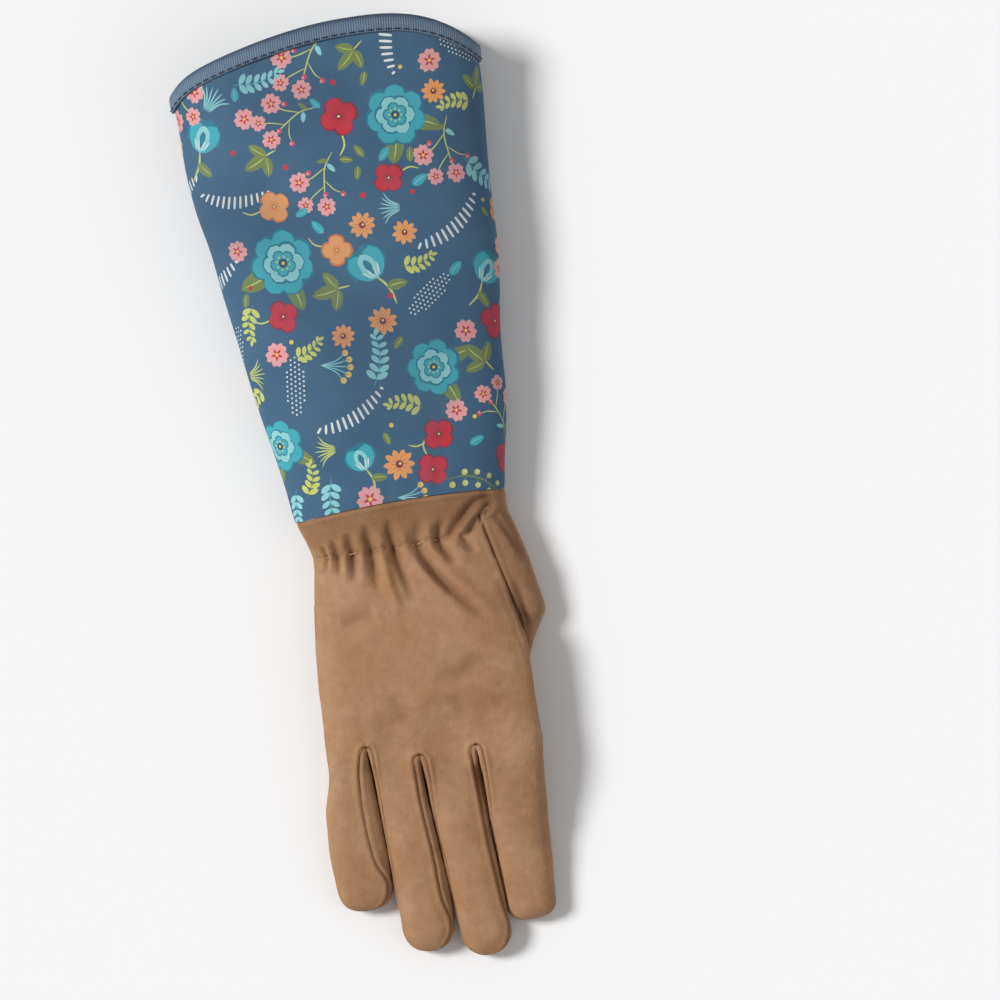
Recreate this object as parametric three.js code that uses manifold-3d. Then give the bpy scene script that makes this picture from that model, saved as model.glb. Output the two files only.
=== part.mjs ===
// A right-hand rose pruning gauntlet, lying palm down: a long tapered cloth cuff with a woven
// binding round its rim, and a leather glove sewn from a back, a palm, three finger gussets,
// two thumb pieces and a notched palm patch. Every piece is a thin wall round one open hollow.
//
// Working axes: +X to the thumb side, +Y along the arm to the rim, +Z up from the floor.
// The wrist seam lies at Y = 0. The finished group is moved so that its box stands centred on
// the origin with its lowest point at Z = 0.

import * as THREE from 'three';
import Module from 'manifold-3d';

// Driving dimensions, in millimetres

const CUFF_LENGTH = 222; // wrist seam to the crest of the rim
const RIM_WIDTH = 143;
const RIM_HEIGHT = 44;
const RIM_DROP = 21; // how far the rim falls from its crest to its two sides
const WRIST_WIDTH = 96.5;
const WRIST_HEIGHT = 28;
const WRIST_ARCH = 2.5; // how far the wrist seam bows towards the rim
const HAND_LENGTH = 112; // wrist seam to the line of the finger forks
const HAND_WIDTH = 98;
const HAND_HEIGHT = 24;
const FINGER_WIDTH = 25;
const FINGER_HEIGHT = 15;
const LITTLE_LENGTH = 68; // each from the line of the forks to the tip
const RING_LENGTH = 91;
const MIDDLE_LENGTH = 97;
const INDEX_LENGTH = 84;
const THUMB_LENGTH = 126; // from inside the wrist to the tip
const THUMB_WIDTH = 27;
const THUMB_HEIGHT = 12.5; // where it lies flat under the index side
const LEATHER_WALL = 1.3;
const CLOTH_WALL = 1.6;
const BINDING_WALL = 1;
const BINDING_WIDTH = 7;
const PATCH_WALL = 1;
const SEAM_GAP = 0.3; // left between two pieces that are sewn together
const FINGER_GAP = 0.6; // left between the gusset walls of two neighbouring fingers
const GATHER_DEPTH = 1.6; // height of the elastic's gathers, from groove to ridge

// What rides under the palm and the cuff lifts them off the floor by its own thickness
const UNDERLAY = SEAM_GAP + Math.max(PATCH_WALL, BINDING_WALL);

// Tables. Stations and places are shares of the named sizes beside them.

// Cuff: at is a share of CUFF_LENGTH, rim goes from the wrist's size (0) to the rim's (1),
// sway is the middle's place as a share of RIM_WIDTH
const CUFF_ROWS = [
  { at: 0.0, rim: 0.0, sway: -0.003 },
  { at: 0.05, rim: 0.09, sway: 0.0 },
  { at: 0.14, rim: 0.24, sway: 0.003 },
  { at: 0.36, rim: 0.51, sway: 0.0 },
  { at: 0.5, rim: 0.69, sway: -0.008 },
  { at: 0.68, rim: 0.85, sway: -0.013 },
  { at: 0.86, rim: 0.95, sway: -0.012 },
  { at: 1.0, rim: 1.0, sway: 0.001 },
];

// Soft dents in the cuff: at along CUFF_LENGTH, turn in degrees round the section from the
// thumb side, deep as a share of RIM_HEIGHT, long and wide as the dent's spread
const CUFF_DENTS = [
  { at: 0.24, turn: 62, deep: 0.05, long: 0.1, wide: 24 },
  { at: 0.52, turn: 118, deep: 0.04, long: 0.12, wide: 26 },
  { at: 0.58, turn: 168, deep: 0.03, long: 0.05, wide: 18 },
  { at: 0.8, turn: 70, deep: 0.035, long: 0.1, wide: 30 },
];

// Hand: at is a share of HAND_LENGTH from the wrist seam, hand goes from the wrist's size to the
// hand's, left and right are shares of that width, top of that height, lift is how far the thumb
// under the palm raises its thumb side, as a share of THUMB_HEIGHT
const HAND_ROWS = [
  { at: 0.0, hand: 0.0, left: -0.503, right: 0.497, top: 1.0, lift: 0.0 },
  { at: 0.08, hand: 0.4, left: -0.466, right: 0.486, top: 0.94, lift: 0.05 },
  { at: 0.16, hand: 0.8, left: -0.443, right: 0.472, top: 0.98, lift: 0.12 },
  { at: 0.27, hand: 1.0, left: -0.459, right: 0.463, top: 1.0, lift: 0.25 },
  { at: 0.45, hand: 1.0, left: -0.49, right: 0.464, top: 1.04, lift: 0.62 },
  { at: 0.62, hand: 1.0, left: -0.512, right: 0.474, top: 1.04, lift: 1.08 },
  { at: 0.8, hand: 1.0, left: -0.522, right: 0.471, top: 1.02, lift: 1.14 },
  { at: 1.0, hand: 1.0, left: -0.538, right: 0.473, top: 0.96, lift: 1.14 },
];

// Soft dents in the back of the hand: x a share of HAND_WIDTH, at of HAND_LENGTH, deep of
// HAND_HEIGHT, long and wide of HAND_WIDTH, and turn how the long way points, in degrees from X
const HAND_DENTS = [
  { x: -0.29, at: 0.42, deep: 0.035, long: 0.15, wide: 0.045, turn: 4 },
  { x: 0.2, at: 0.37, deep: 0.05, long: 0.24, wide: 0.045, turn: -54 },
  { x: 0.16, at: 0.67, deep: 0.04, long: 0.13, wide: 0.06, turn: 12 },
  { x: -0.14, at: 0.84, deep: 0.045, long: 0.14, wide: 0.05, turn: 84 },
  { x: 0.12, at: 0.84, deep: 0.04, long: 0.13, wide: 0.05, turn: 94 },
  { x: 0.4, at: 0.5, deep: 0.04, long: 0.16, wide: 0.035, turn: -72 },
];

// Forks between the fingers: x as a share of HAND_WIDTH, back as how far the fork lies behind
// (minus) or past the line of the forks, as a share of HAND_LENGTH. line holds the middle of
// the gap down to the tips: at along MIDDLE_LENGTH, x as a share of HAND_WIDTH.
const FORKS = [
  {
    x: -0.347, past: -0.055,
    line: [{ at: -0.06, x: -0.347 }, { at: 0.16, x: -0.337 }, { at: 0.34, x: -0.332 },
      { at: 0.5, x: -0.329 }, { at: 0.66, x: -0.327 }, { at: 1.0, x: -0.325 }],
  },
  {
    x: -0.107, past: 0.012,
    line: [{ at: 0.014, x: -0.107 }, { at: 0.1, x: -0.102 }, { at: 0.3, x: -0.1 },
      { at: 0.5, x: -0.088 }, { at: 0.65, x: -0.075 }, { at: 1.0, x: -0.069 }],
  },
  {
    x: 0.158, past: 0.008,
    line: [{ at: 0.01, x: 0.158 }, { at: 0.1, x: 0.163 }, { at: 0.3, x: 0.164 },
      { at: 0.5, x: 0.163 }, { at: 0.65, x: 0.169 }, { at: 1.0, x: 0.181 }],
  },
];

// Fingers from little to index. at is a share of the finger's own length, x a share of
// HAND_WIDTH, half and the two seam insets shares of FINGER_WIDTH, top and lift shares of
// FINGER_HEIGHT. The insets say how far the back's seam lies in from the gap on each side.
const FINGERS = [
  {
    name: 'little', length: LITTLE_LENGTH, tipSquare: 2.3, tipLength: 0.46,
    rows: [
      { at: 0.0, x: -0.445, half: 0.4, left: 0, right: 0.1, top: 1.36, lift: 0.0 },
      { at: 0.2, x: -0.454, half: 0.45, left: 0, right: 0.24, top: 1.14, lift: 0.0 },
      { at: 0.5, x: -0.461, half: 0.5, left: 0, right: 0.3, top: 1.02, lift: 0.0 },
      { at: 0.8, x: -0.463, half: 0.52, left: 0, right: 0.27, top: 0.96, lift: 0.0 },
      { at: 1.0, x: -0.462, half: 0.5, left: 0, right: 0.14, top: 0.9, lift: 0.0 },
    ],
  },
  {
    name: 'ring', length: RING_LENGTH, tipSquare: 2.1, tipLength: 0.5,
    rows: [
      { at: 0.0, x: -0.226, half: 0.45, left: 0.1, right: 0.14, top: 1.38, lift: 0.0 },
      { at: 0.2, x: -0.218, half: 0.46, left: 0.06, right: 0.15, top: 1.18, lift: 0.0 },
      { at: 0.5, x: -0.21, half: 0.48, left: 0.02, right: 0.14, top: 1.05, lift: 0.0 },
      { at: 0.8, x: -0.2, half: 0.49, left: 0.02, right: 0.18, top: 0.98, lift: 0.0 },
      { at: 1.0, x: -0.2, half: 0.47, left: 0.02, right: 0.12, top: 0.9, lift: 0.0 },
    ],
  },
  {
    name: 'middle', length: MIDDLE_LENGTH, tipSquare: 2.1, tipLength: 0.5,
    rows: [
      { at: 0.0, x: 0.03, half: 0.5, left: 0.1, right: 0.12, top: 1.44, lift: 0.36 },
      { at: 0.2, x: 0.032, half: 0.51, left: 0.08, right: 0.11, top: 1.24, lift: 0.14 },
      { at: 0.5, x: 0.04, half: 0.5, left: 0.02, right: 0.09, top: 1.08, lift: 0.0 },
      { at: 0.8, x: 0.053, half: 0.48, left: 0.02, right: 0.08, top: 0.98, lift: 0.0 },
      { at: 1.0, x: 0.062, half: 0.47, left: 0.02, right: 0.05, top: 0.9, lift: 0.0 },
    ],
  },
  {
    name: 'index', length: INDEX_LENGTH, tipSquare: 3, tipLength: 0.4,
    rows: [
      { at: 0.0, x: 0.316, half: 0.6, left: 0.1, right: 0, top: 1.84, lift: 0.96 },
      { at: 0.14, x: 0.312, half: 0.57, left: 0.09, right: 0, top: 1.82, lift: 0.9 },
      { at: 0.28, x: 0.308, half: 0.545, left: 0.08, right: 0, top: 1.68, lift: 0.68 },
      { at: 0.45, x: 0.304, half: 0.52, left: 0.05, right: 0, top: 1.44, lift: 0.33 },
      { at: 0.62, x: 0.3, half: 0.5, left: 0.02, right: 0, top: 1.2, lift: 0.07 },
      { at: 0.8, x: 0.295, half: 0.485, left: 0.02, right: 0, top: 1.02, lift: 0.0 },
      { at: 1.0, x: 0.29, half: 0.45, left: 0.02, right: 0, top: 0.9, lift: 0.0 },
    ],
  },
];

// Thumb, folded under the index side: at is a share of THUMB_LENGTH from its root in the wrist,
// x a share of HAND_WIDTH, half of THUMB_WIDTH, top and low of THUMB_HEIGHT
const THUMB_ROOT = 0.06; // where the thumb starts, as a share of HAND_LENGTH
const THUMB_ROWS = [
  { at: 0.0, x: 0.34, half: 0.5, top: 1.75, low: 0.2 },
  { at: 0.12, x: 0.375, half: 0.53, top: 1.78, low: 0.1 },
  { at: 0.26, x: 0.408, half: 0.53, top: 1.7, low: 0.04 },
  { at: 0.36, x: 0.427, half: 0.53, top: 1.56, low: 0.0 },
  { at: 0.45, x: 0.44, half: 0.525, top: 1.36, low: 0.0 },
  { at: 0.5, x: 0.415, half: 0.505, top: 1.22, low: 0.0 },
  { at: 0.56, x: 0.376, half: 0.495, top: 1.1, low: 0.0 },
  { at: 0.63, x: 0.342, half: 0.49, top: 1.02, low: 0.0 },
  { at: 0.73, x: 0.314, half: 0.48, top: 1.0, low: 0.0 },
  { at: 0.87, x: 0.3, half: 0.46, top: 1.0, low: 0.0 },
  { at: 1.0, x: 0.3, half: 0.44, top: 0.94, low: 0.0 },
];
const THUMB_TIP_LENGTH = 0.5; // of THUMB_WIDTH

// Notches cut from the palm patch, as outlines: x of HAND_WIDTH, at of HAND_LENGTH
const WRIST_NOTCH = [
  { x: 0.1, at: 0.67 }, { x: 0.01, at: 0.54 }, { x: -0.03, at: 0.44 }, { x: -0.1, at: 0.365 },
  { x: -0.19, at: 0.33 }, { x: -0.7, at: 0.31 }, { x: -0.7, at: 0.0 }, { x: 0.4, at: 0.0 },
  { x: 0.26, at: 0.14 }, { x: 0.13, at: 0.23 }, { x: 0.085, at: 0.34 }, { x: 0.075, at: 0.52 },
];
const SIDE_NOTCH = [
  { x: -0.7, at: 0.42 }, { x: -0.12, at: 0.645 }, { x: -0.05, at: 0.74 }, { x: 0.075, at: 0.84 },
  { x: 0.0, at: 0.885 }, { x: -0.7, at: 0.9 },
];
// Before it is notched the patch covers these shares of HAND_LENGTH, and this many columns
// are left free at each side of the palm
const PATCH_REACH = [0.18, 0.95];
const PATCH_MARGIN = 1;

// How square each section is: 2 is an ellipse, more is boxier
const CUFF_SQUARE = 2.35;
const HAND_SQUARE = 2.7;
const FINGER_SQUARE = 2.5;
const ROOT_BLEND = 0.18; // share of a finger over which it takes its own shape
const RESTING = 1.04; // swells each underside this much against its flat, so that it lies flat
const FORK_EDGE = 0.89; // how far out from a finger's middle its fork lies, of its half width

// Numbers of facets
const CUFF_AROUND = 40;
const CUFF_STEPS = [0, 0.06, 0.14, 0.26, 0.4, 0.55, 0.7, 0.84, 0.94, 1];
const COLUMNS = 5; // across each finger, and as many across the hand above it
const HAND_STEPS = [0, 0.08, 0.13, 0.18, 0.24, 0.36, 0.5, 0.64, 0.77, 0.88, 0.95, 1];
const FINGER_STEPS = [0, 0.03, 0.07, 0.14, 0.22, 0.33, 0.47, 0.64, 0.82, 1];
const TIP_ANGLES = [28, 54, 76, 90];
const THUMB_STEPS = [0, 0.12, 0.24, 0.33, 0.4, 0.445, 0.48, 0.52, 0.57, 0.64, 0.74, 0.87, 1];
const THUMB_COLUMNS = 9;
const GUSSET_COLUMNS = 3;

const LEATHER = { color: 0xa67c58, roughness: 0.9, metalness: 0 };
const PATCH_LEATHER = { color: 0x9f744f, roughness: 0.92, metalness: 0 };
const PRINTED_CLOTH = { color: 0x38587a, roughness: 0.8, metalness: 0 };
const WOVEN_TAPE = { color: 0x3f5d7c, roughness: 0.75, metalness: 0 };

// Small tools

const wasm = await Module();
wasm.setup();

const mix = (a, b, t) => a + (b - a) * t;
const clamp = (t, low, high) => Math.min(high, Math.max(low, t));
const ease = (t) => clamp(t, 0, 1) ** 2 * (3 - 2 * clamp(t, 0, 1));
const radians = (degrees) => (degrees * Math.PI) / 180;

// The value of one column of a table at a station, on a smooth curve through its rows
function read(rows, column, at) {
  const place = clamp(at, rows[0].at, rows[rows.length - 1].at);
  let i = 0;
  while (i < rows.length - 2 && rows[i + 1].at < place) i += 1;
  const slope = (k) => {
    const before = rows[Math.max(k - 1, 0)];
    const after = rows[Math.min(k + 1, rows.length - 1)];
    return (after[column] - before[column]) / (after.at - before.at);
  };
  const [a, b] = [rows[i], rows[i + 1]];
  const step = b.at - a.at;
  const t = (place - a.at) / step;
  return (2 * t ** 3 - 3 * t ** 2 + 1) * a[column] + (t ** 3 - 2 * t ** 2 + t) * step * slope(i)
    + (3 * t ** 2 - 2 * t ** 3) * b[column] + (t ** 3 - t ** 2) * step * slope(i + 1);
}

// Where an angle round a section lies: how far across (-1 to 1) and how far up (-1 to 1)
function onSection(angle, square) {
  const [c, s] = [Math.cos(angle), Math.sin(angle)];
  return {
    across: Math.sign(c) * Math.abs(c) ** (2 / square),
    up: Math.sign(s) * Math.abs(s) ** (2 / square),
  };
}

// The angle on the upper half of a section at a share of its half width
const angleAt = (across, square) => Math.acos(
  Math.sign(across) * Math.abs(clamp(across, -1, 1)) ** (square / 2));

// A point of a closed section at an angle, sunk below its outer face by inset
function sectionPoint(section, angle, y, inset) {
  const { across, up } = onSection(angle, section.square);
  const side = section.side(across);
  const rise = up >= 0
    ? up * (section.top(across) - inset - side)
    : Math.max(up * RESTING, -1) * (side - section.bottom(across) - inset);
  return new THREE.Vector3(section.x + (section.half - inset) * across, y, side + rise);
}

// A wall grown from quads whose corners each have an outer and an inner point. Quads that share
// corners join up, and every free edge is closed from the outer to the inner face.
class Wall {
  constructor() {
    this.outer = [];
    this.inner = [];
    this.index = new Map();
    this.quads = [];
  }

  corner(key, pointAt, wall) {
    if (!this.index.has(key)) {
      this.index.set(key, this.outer.length);
      this.outer.push(pointAt(0));
      this.inner.push(pointAt(wall));
    }
    return this.index.get(key);
  }

  // Joins a grid of corner numbers into quads
  grid(rows, closed = false) {
    for (let r = 0; r + 1 < rows.length; r += 1) {
      const width = rows[r].length;
      for (let c = 0; c < (closed ? width : width - 1); c += 1) {
        const next = (c + 1) % width;
        this.quads.push([rows[r][c], rows[r + 1][c], rows[r + 1][next], rows[r][next]]);
      }
    }
  }

  geometry() {
    const count = this.outer.length;
    const points = [...this.outer, ...this.inner];
    const edges = new Set();
    for (const quad of this.quads) quad.forEach((a, i) => edges.add(`${a},${quad[(i + 1) % 4]}`));
    const faces = [];
    for (const quad of this.quads) {
      faces.push(quad, [...quad].reverse().map((i) => i + count));
      quad.forEach((a, i) => {
        const b = quad[(i + 1) % 4];
        if (!edges.has(`${b},${a}`)) faces.push([b, a, a + count, b + count]);
      });
    }
    return facesToGeometry(points, faces);
  }
}

// Triangulates quads along their shorter diagonal, and turns the body right side out
function facesToGeometry(points, faces) {
  const triangles = [];
  for (const [a, b, c, d] of faces) {
    const short = points[a].distanceTo(points[c]) <= points[b].distanceTo(points[d]);
    if (short) triangles.push([a, b, c], [a, c, d]);
    else triangles.push([a, b, d], [b, c, d]);
  }
  let volume = 0;
  for (const [a, b, c] of triangles) {
    volume += points[a].dot(new THREE.Vector3().crossVectors(points[b], points[c]));
  }
  const kept = volume > 0 ? triangles : triangles.map(([a, b, c]) => [a, c, b]);
  const geometry = new THREE.BufferGeometry();
  geometry.setAttribute('position', new THREE.Float32BufferAttribute(
    points.flatMap((p) => [p.x, p.y, p.z]), 3));
  geometry.setIndex(kept.flat());
  return geometry;
}

function toSolid(geometry) {
  return new wasm.Manifold(new wasm.Mesh({
    numProp: 3,
    vertProperties: new Float32Array(geometry.getAttribute('position').array),
    triVerts: new Uint32Array(geometry.getIndex().array),
  }));
}

// The largest body of a cut solid, without the crumbs that a cut leaves beside it
function toGeometry(solid) {
  const bodies = solid.decompose().sort((a, b) => b.volume() - a.volume());
  const mesh = bodies[0].getMesh();
  const geometry = new THREE.BufferGeometry();
  geometry.setAttribute('position', new THREE.Float32BufferAttribute(mesh.vertProperties, 3));
  geometry.setIndex(Array.from(mesh.triVerts));
  return geometry;
}

// A closed tube through rings of equally many points, with a flat cap at each end
function closedTube(rings) {
  const points = rings.flat();
  const width = rings[0].length;
  const triangles = [];
  for (let r = 0; r + 1 < rings.length; r += 1) {
    for (let c = 0; c < width; c += 1) {
      const [a, b] = [r * width + c, r * width + ((c + 1) % width)];
      triangles.push([a, a + width, b + width], [a, b + width, b]);
    }
  }
  const last = (rings.length - 1) * width;
  const middle = (ring) => ring.reduce((sum, p) => sum.add(p), new THREE.Vector3())
    .divideScalar(ring.length);
  points.push(middle(rings[0]), middle(rings[rings.length - 1]));
  for (let c = 0; c < width; c += 1) {
    const next = (c + 1) % width;
    triangles.push([points.length - 2, c, next], [points.length - 1, last + next, last + c]);
  }
  let volume = 0;
  for (const [a, b, c] of triangles) {
    volume += points[a].dot(new THREE.Vector3().crossVectors(points[b], points[c]));
  }
  const kept = volume > 0 ? triangles : triangles.map(([a, b, c]) => [a, c, b]);
  const geometry = new THREE.BufferGeometry();
  geometry.setAttribute('position', new THREE.Float32BufferAttribute(
    points.flatMap((p) => [p.x, p.y, p.z]), 3));
  geometry.setIndex(kept.flat());
  return geometry;
}

// Cuff

// How far the rim has fallen from its crest, at a share of the half width. On the thumb side it
// falls late, on the other side evenly and then over a rounded corner.
function rimDrop(across) {
  const crest = 0.11;
  if (across > crest) return RIM_DROP * ((across - crest) / (1 - crest)) ** 3;
  const share = (crest - across) / (1 + crest);
  return RIM_DROP * (0.74 * share ** 1.75 + 0.26 * share ** 14);
}

const wristSeam = (across) => WRIST_ARCH * (1 - across ** 2);

function cuffSection(y) {
  const at = clamp(y / CUFF_LENGTH, 0, 1);
  const rim = read(CUFF_ROWS, 'rim', at);
  const height = mix(WRIST_HEIGHT, RIM_HEIGHT, rim);
  return {
    x: read(CUFF_ROWS, 'sway', at) * RIM_WIDTH,
    half: mix(WRIST_WIDTH, RIM_WIDTH, rim) / 2,
    side: () => UNDERLAY + 0.4 * height,
    top: () => UNDERLAY + height,
    bottom: () => UNDERLAY,
    square: CUFF_SQUARE,
  };
}

function dentDepth(at, turn) {
  return CUFF_DENTS.reduce((sum, dent) => sum + dent.deep * RIM_HEIGHT
    * Math.exp(-(((at - dent.at) / dent.long) ** 2) - ((turn - dent.turn) / dent.wide) ** 2), 0);
}

// A point of the cuff: angle round it, share from wrist seam to rim, and beyond as a length
// past the rim
function cuffPoint(angle, share, inset, beyond = 0) {
  const { across } = onSection(angle, CUFF_SQUARE);
  const start = wristSeam(across) + SEAM_GAP / 2;
  const y = mix(start, CUFF_LENGTH - rimDrop(across), share) + beyond;
  const turn = (((angle * 180) / Math.PI) + 360) % 360;
  const dent = dentDepth(y / CUFF_LENGTH, turn) * ease((1 - share) / 0.12) * ease(share / 0.1);
  return sectionPoint(cuffSection(y), angle, y, inset + dent);
}

function cuffSleeve() {
  const wall = new Wall();
  wall.grid(CUFF_STEPS.map((share) => Array.from({ length: CUFF_AROUND }, (_, i) => {
    const angle = (i / CUFF_AROUND) * 2 * Math.PI;
    return wall.corner(`${share} ${i}`, (inset) => cuffPoint(angle, share, inset), CLOTH_WALL);
  })), true);
  return wall.geometry();
}

// The binding is a folded tape: an outer leg, a fold over the rim, and an inner leg
function rimBinding() {
  const [near, far] = [SEAM_GAP, SEAM_GAP + BINDING_WALL];
  const profile = [
    [-BINDING_WIDTH, -near], [-BINDING_WIDTH, -far], [near + BINDING_WALL / 2, -far],
    [far, -near / 2], [far, CLOTH_WALL + near / 2], [near + BINDING_WALL / 2, CLOTH_WALL + far],
    [-BINDING_WIDTH, CLOTH_WALL + far], [-BINDING_WIDTH, CLOTH_WALL + near],
    [near, CLOTH_WALL + near], [near, -near],
  ];
  const points = [];
  const faces = [];
  const width = profile.length;
  for (let i = 0; i < CUFF_AROUND; i += 1) {
    const angle = (i / CUFF_AROUND) * 2 * Math.PI;
    for (const [beyond, inset] of profile) points.push(cuffPoint(angle, 1, inset, beyond));
    for (let k = 0; k < width; k += 1) {
      const [a, b] = [i * width + k, i * width + ((k + 1) % width)];
      const ahead = ((i + 1) % CUFF_AROUND) * width - i * width;
      faces.push([a, a + ahead, b + ahead, b]);
    }
  }
  return facesToGeometry(points, faces);
}

// Hand

function handSection(at) {
  const hand = read(HAND_ROWS, 'hand', at);
  const width = mix(WRIST_WIDTH, HAND_WIDTH, hand);
  const height = mix(WRIST_HEIGHT, HAND_HEIGHT, hand) * read(HAND_ROWS, 'top', at);
  const lift = read(HAND_ROWS, 'lift', at) * THUMB_HEIGHT;
  const [left, right] = [read(HAND_ROWS, 'left', at) * width, read(HAND_ROWS, 'right', at) * width];
  const overThumb = (across) => ease((across + 0.06) / 0.4);
  const low = 0.24 * height;
  return {
    x: (left + right) / 2,
    half: (right - left) / 2,
    side: (across) => UNDERLAY + low + lift * ease((across + 0.7) / 1.4)
      + 0.16 * height * (1 - hand),
    top: (across) => UNDERLAY + height + 0.32 * lift * ease((across + 0.8) / 1.6),
    bottom: (across) => UNDERLAY + lift * overThumb(across),
    square: mix(CUFF_SQUARE, HAND_SQUARE, hand),
  };
}

const fingerReach = (finger, at) => -(HAND_LENGTH + at * finger.length);
const gapLine = (fork, y) => read(FORKS[fork].line, 'x', (-y - HAND_LENGTH) / MIDDLE_LENGTH)
  * HAND_WIDTH;
const forkY = (fork) => -HAND_LENGTH * (1 + FORKS[fork].past);
const outerEdge = (side) => read(HAND_ROWS, side, 1) * HAND_WIDTH;

// Where a finger starts on each side: at its forks, or on the line of the forks
function rootY(f, u) {
  const left = f > 0 ? forkY(f - 1) : -HAND_LENGTH;
  const right = f < FINGERS.length - 1 ? forkY(f) : -HAND_LENGTH;
  return mix(left, right, u);
}

// A height of a finger's root at one of its forks: halfway between the two neighbours'
function forkHeight(fork, column) {
  const [near, next] = [FINGERS[fork].rows[0], FINGERS[fork + 1].rows[0]];
  return ((near[column] + next[column]) / 2) * FINGER_HEIGHT;
}

function fingerSection(f, at) {
  const finger = FINGERS[f];
  const last = FINGERS.length - 1;
  const root = ease(at / ROOT_BLEND);
  const left = f > 0 ? FORKS[f - 1].x * HAND_WIDTH : outerEdge('left');
  const right = f < last ? FORKS[f].x * HAND_WIDTH : outerEdge('right');
  const [edgeLeft, edgeRight] = [f > 0 ? -FORK_EDGE : -1, f < last ? FORK_EDGE : 1];
  const rootHalf = (right - left) / (edgeRight - edgeLeft);
  const height = (column) => (across) => {
    const own = read(finger.rows, column, at) * FINGER_HEIGHT;
    const fork = across < 0 ? f - 1 : f;
    if (fork < 0 || fork === last) return own;
    return mix(own, forkHeight(fork, column), ease(Math.abs(across) / FORK_EDGE) * (1 - root));
  };
  const [top, lift] = [height('top'), height('lift')];
  const bottom = (across) => UNDERLAY * (1 - at) + lift(across);
  return {
    x: mix(left - rootHalf * edgeLeft, read(finger.rows, 'x', at) * HAND_WIDTH, root),
    half: mix(rootHalf, read(finger.rows, 'half', at) * FINGER_WIDTH, root),
    side: (across) => mix(bottom(across), top(across), 0.42),
    top,
    bottom,
    square: FINGER_SQUARE,
  };
}

// How far across its section each edge of a finger's back or palm reaches. The gusset takes over
// from there. At the fork the two neighbours' edges meet on the gap line.
function fingerEdge(f, at, side, upper) {
  const finger = FINGERS[f];
  const fork = side < 0 ? f - 1 : f;
  if (fork < 0 || fork >= FORKS.length) return side;
  const section = fingerSection(f, at);
  const column = side < 0 ? 'left' : 'right';
  const opened = 1 - Math.exp(-at / 0.022);
  const inset = (upper ? read(finger.rows, column, at) : 0.1) * FINGER_WIDTH * opened
    * (1 - 0.6 * ease((at - 0.86) / 0.14));
  const y = mix(forkY(fork), fingerReach(finger, 1), at);
  const edge = gapLine(fork, y) - side * (inset + (FINGER_GAP / 2) * ease(at / 0.08));
  return clamp((edge - section.x) / section.half, -0.97, 0.97);
}

// A point of a finger. at runs from the fork to the start of the tip, and tip turns from 0 to 90
// degrees over the end. u runs across from the left edge to the right one.
function fingerPoint(f, at, tip, angle, u, inset) {
  const finger = FINGERS[f];
  const section = fingerSection(f, at);
  const tipReach = finger.tipLength * FINGER_WIDTH;
  const end = Math.max(Math.cos(radians(tip)), 0) ** (2 / finger.tipSquare);
  const narrowed = mix(0.2, 1, end);
  const flattened = Math.max(Math.cos(radians(tip)), 0) ** 0.9;
  const straight = mix(rootY(f, u), fingerReach(finger, 1) + tipReach, at);
  const y = straight - (tipReach - inset) * Math.sin(radians(tip)) ** (2 / finger.tipSquare)
    + inset * (at === 0 ? 1 : 0);
  const side = section.side;
  const { across } = onSection(angle, FINGER_SQUARE);
  const fork = across < 0 ? f - 1 : f;
  const atFork = at === 0 && fork >= 0 && fork < FORKS.length;
  const point = sectionPoint({
    ...section,
    half: Math.max(section.half * narrowed, inset + 0.6),
    top: (a) => Math.max(mix(side(a), section.top(a), flattened), side(a) + inset),
    bottom: (a) => Math.min(mix(side(a), section.bottom(a), flattened), side(a) - inset),
  }, angle, y, inset);
  if (atFork) {
    point.x += inset * across;
    return point;
  }
  // Neighbouring fingers press flat against each other along the gap between them
  const gap = (FINGER_GAP / 2) * ease(at / 0.08);
  if (f > 0) point.x = Math.max(point.x, gapLine(f - 1, y) + gap + inset);
  if (f < FINGERS.length - 1) point.x = Math.min(point.x, gapLine(f, y) - gap - inset);
  return point;
}

// The angle of column c (0 to 4, in finger widths) on the hand's back or palm
function handAngle(section, c) {
  const stops = [-1, ...FORKS.map((fork) => (fork.x * HAND_WIDTH - section.x) / section.half), 1];
  const f = Math.min(Math.floor(c), FINGERS.length - 1);
  const [from, to] = [angleAt(stops[f], section.square), angleAt(stops[f + 1], section.square)];
  return mix(from, to, c - f);
}

// Gathers of the wrist elastic: a wave across the back that dies away up and down the hand
function gather(at, c) {
  const near = at < 0.16 ? (0.16 - at) / 0.1 : (at - 0.16) / 0.12;
  const ridge = Math.cos(Math.PI * c * COLUMNS);
  return (GATHER_DEPTH / 2) * ridge * Math.exp(-(near ** 2)) * ease(c / 0.6) * ease((3.7 - c) / 0.4);
}

// How far the dents of the back have sunk at a place
function handDent(x, y) {
  return HAND_DENTS.reduce((sum, dent) => {
    const [c, s] = [Math.cos(radians(dent.turn)), Math.sin(radians(dent.turn))];
    const [dx, dy] = [x / HAND_WIDTH - dent.x, (y + dent.at * HAND_LENGTH) / HAND_WIDTH];
    const [along, off] = [(dx * c + dy * s) / dent.long, (dy * c - dx * s) / dent.wide];
    return sum + dent.deep * HAND_HEIGHT * Math.exp(-(along ** 2) - off ** 2);
  }, 0);
}

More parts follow.
